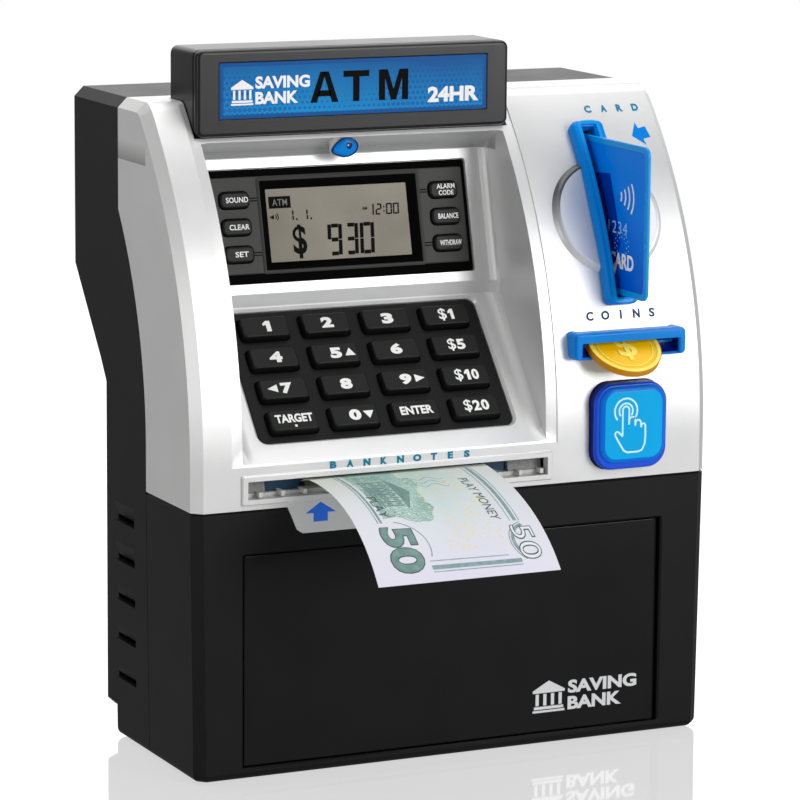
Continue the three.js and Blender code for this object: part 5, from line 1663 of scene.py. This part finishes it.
def note_look():
    """Play-money paper: a cream border, a green picture field, fine wavy lines and yellow dots."""
    look = plain_look("note_look", (0.8, 0.8, 0.84), 0.8)
    graph = Graph(look)
    axes = graph.axes()
    drop = 56
    across = graph.math("MULTIPLY_ADD", axes["X"], 1 / (NOTE_WIDTH * MM), 0.5 - FACE_X / NOTE_WIDTH)
    reach = graph.math("MULTIPLY_ADD", axes["Y"], 1 / (drop * MM), (drop - FRONT_Y / MM) / drop)
    half_reach = graph.math("MULTIPLY", reach, 0.5)
    shade_of_paper = graph.math("MULTIPLY_ADD", graph.noise(14.0, 3.0), 0.5, half_reach)
    paper = graph.ramp(shade_of_paper, [(0.15, (0.70, 0.66, 0.80)), (0.5, (0.68, 0.71, 0.72)),
                                        (0.9, (0.62, 0.66, 0.55))])
    wave = graph.node("ShaderNodeTexWave", wave_type="BANDS", bands_direction="DIAGONAL")
    for name, value in (("Scale", 420.0), ("Distortion", 14.0), ("Detail", 3.0), ("Detail Scale", 1.2)):
        wave.inputs[name].default_value = value
    graph.link(graph.place(), wave.inputs["Vector"])
    clouds = graph.noise(90.0, 6.0)
    depth = graph.math("MULTIPLY_ADD", wave.outputs["Fac"], 0.35, graph.math("MULTIPLY", clouds, 0.75))
    picture = graph.ramp(depth, [(0.32, (0.04, 0.16, 0.13)), (0.52, (0.16, 0.36, 0.29)),
                                 (0.75, (0.55, 0.70, 0.62))])
    left = graph.math("GREATER_THAN", across, 0.17)
    wobble = graph.math("MULTIPLY_ADD", graph.noise(60.0, 4.0), 0.25, -0.125)
    right = graph.math("LESS_THAN", graph.math("ADD", across, wobble), 0.47)
    deep = graph.math("GREATER_THAN", graph.math("ADD", reach, wobble), 0.40)
    field = graph.math("MULTIPLY", graph.math("MULTIPLY", left, right), deep)
    coloured = graph.mix(graph.math("MULTIPLY", field, 0.85), paper, picture)
    off_middle = graph.math("ABSOLUTE", graph.math("MULTIPLY_ADD", across, 3.2, -1.75))
    wash = graph.math("MAXIMUM", graph.math("SUBTRACT", 1.0, off_middle), 0.0)
    wash = graph.math("MULTIPLY", wash, graph.math("MULTIPLY", reach, 0.75))
    coloured = graph.mix(wash, coloured, (0.38, 0.60, 0.54))
    cells = graph.node("ShaderNodeTexVoronoi")
    cells.inputs["Scale"].default_value = 520.0
    graph.link(graph.place(), cells.inputs["Vector"])
    dot = graph.math("LESS_THAN", cells.outputs["Distance"], 0.33)
    for inside in (graph.math("GREATER_THAN", across, 0.45), graph.math("LESS_THAN", across, 0.8),
                   graph.math("GREATER_THAN", reach, 0.16)):
        dot = graph.math("MULTIPLY", dot, inside)
    graph.colour(graph.mix(graph.math("MULTIPLY", dot, 0.7), coloured, (0.78, 0.66, 0.36)))
    graph.bump(graph.noise(1200.0, 4.0), 0.00002)
    return look


# ---- note slot, back and carried-over nodes ----------------------------------------------------

def make_slot_details():
    """Grey cheeks at the ends of the note slot and the dark blue wall beside the note."""
    def wedges(spans, front, top_front, low, high):
        side = [(front, low), (7.8, low), (7.8, high), (top_front, high)]
        return join(*[loft([[(x, y, z) for y, z in side] for x in span]) for span in spans])

    clear = NOTE_WIDTH / 2 + 1
    cheeks = wedges(((-76.1, -68.6), (20.2, 32.7)), 3.0, 4.6, 94.6, 100.2)
    walls = wedges(((-68.4, FACE_X - clear), (FACE_X + clear, 20)), 5.0, 5.6, 95.6, 100.1)
    piece("note_slot_cheeks", [(cheeks, cheek_grey), (walls, ink_navy)], "housing", ())


def make_battery_cover():
    b = BATTERY
    centre_z = (b["bottom"] - 3.7 + b["top"] + 7.7) / 2
    width = b["right"] - b["left"] + 7.4
    height = b["top"] - b["bottom"] + 11.4

    def back(u, v, w):
        return (-u, REAR_BOX_Y + w, centre_z + v)

    def about_screw(*profile, sides):
        return turned("y", [(REAR_BOX_Y + reach, radius) for reach, radius in profile], b["screw"], sides)

    def cross(half_x, half_z):
        x, z = b["screw"]
        return block(x - half_x, x + half_x, REAR_BOX_Y + 0.9, REAR_BOX_Y + 3, z - half_z, z + half_z)

    plate = stack([(width, height, 1.5, -1.4), (width, height, 1.5, -0.1),
                   (width - 0.6, height - 0.6, 1.2, 0.2)], back)
    cover = cut(plate, about_screw((-3, 1.8), (3, 1.8), sides=20))
    ribs = [slab(30, 1.2, 0.5, [(0, 0.1), (0, 0.4), (0.3, 0.6)], back, 3, (0, -24 + 2.4 * i))
            for i in range(6)]
    arrow = settle(cutout([(-3, -2), (3, -2), (0, 3)]), back, 0.1, 0.5, (0, -7))
    piece("battery_cover_plate", [(join(cover, *ribs, arrow), black)], "battery_cover", ["battery_cover"])
    head = about_screw((-7, 0.3), (-6, 1.2), (0.5, 1.2), (0.55, 2.8), (1.2, 2.8), (1.65, 2.2), (1.8, 1.2),
                       sides=28)
    piece("battery_screw_head", [(cut(head, cross(1.7, 0.35), cross(0.35, 1.7)), steel)], "battery_cover",
          ["battery_cover_screw"])


def make_switch():
    left = SWITCH["x"] - SWITCH["slot"] / 2 + 0.5
    z = SWITCH["z"]
    knob = block(left, left + 6, REAR_TOP_Y - 4.5, REAR_TOP_Y + 0.3, z - 1.8, z + 1.8)
    ribs = [block(left + 0.4 + 1.4 * i, left + 1.2 + 1.4 * i, REAR_TOP_Y, REAR_TOP_Y + 0.8, z - 1.8, z + 1.8)
            for i in range(4)]
    skirt = block(left - 2, left + 8, REAR_TOP_Y - 5.5, REAR_TOP_Y - 3, z - 3.6, z + 3.6)
    piece("power_switch_knob", [(join(knob, skirt, *ribs), bezel_grey)], "power_switch", ["power_switch"])


def dress_cad_nodes():
    """Gives the inner parts, which keep their CAD shapes, their own materials."""
    looks = {
        "main_board": board_green, "keypad_board": board_green, "note_guide": white_plastic,
        "feed_roller": sleeve_blue, "pinch_roller": white_plastic, "roller_gear": white_plastic,
        "motor_pinion": steel, "feed_motor": steel, "door_latch": steel, "latch_solenoid": steel,
        "coin_chute": white_plastic, "battery_1": battery_wrap, "battery_2": battery_wrap,
        "battery_3": battery_wrap, "speaker": black, "foot_1": foot_foam, "foot_2": foot_foam,
        "foot_3": foot_foam, "foot_4": foot_foam,
    }
    for name, look in looks.items():
        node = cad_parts[name]
        node.data.materials.clear()
        node.data.materials.append(look)


for make in (make_camera, make_stage, make_front_shell, make_lower_housing, make_rear_cover,
             make_door, make_sign, make_display, make_keypad, make_eye, make_card_bezel, make_card,
             make_coin_bezel, make_coin, make_touch, make_prints, make_note, make_slot_details,
             make_battery_cover, make_switch, dress_cad_nodes):
    make()
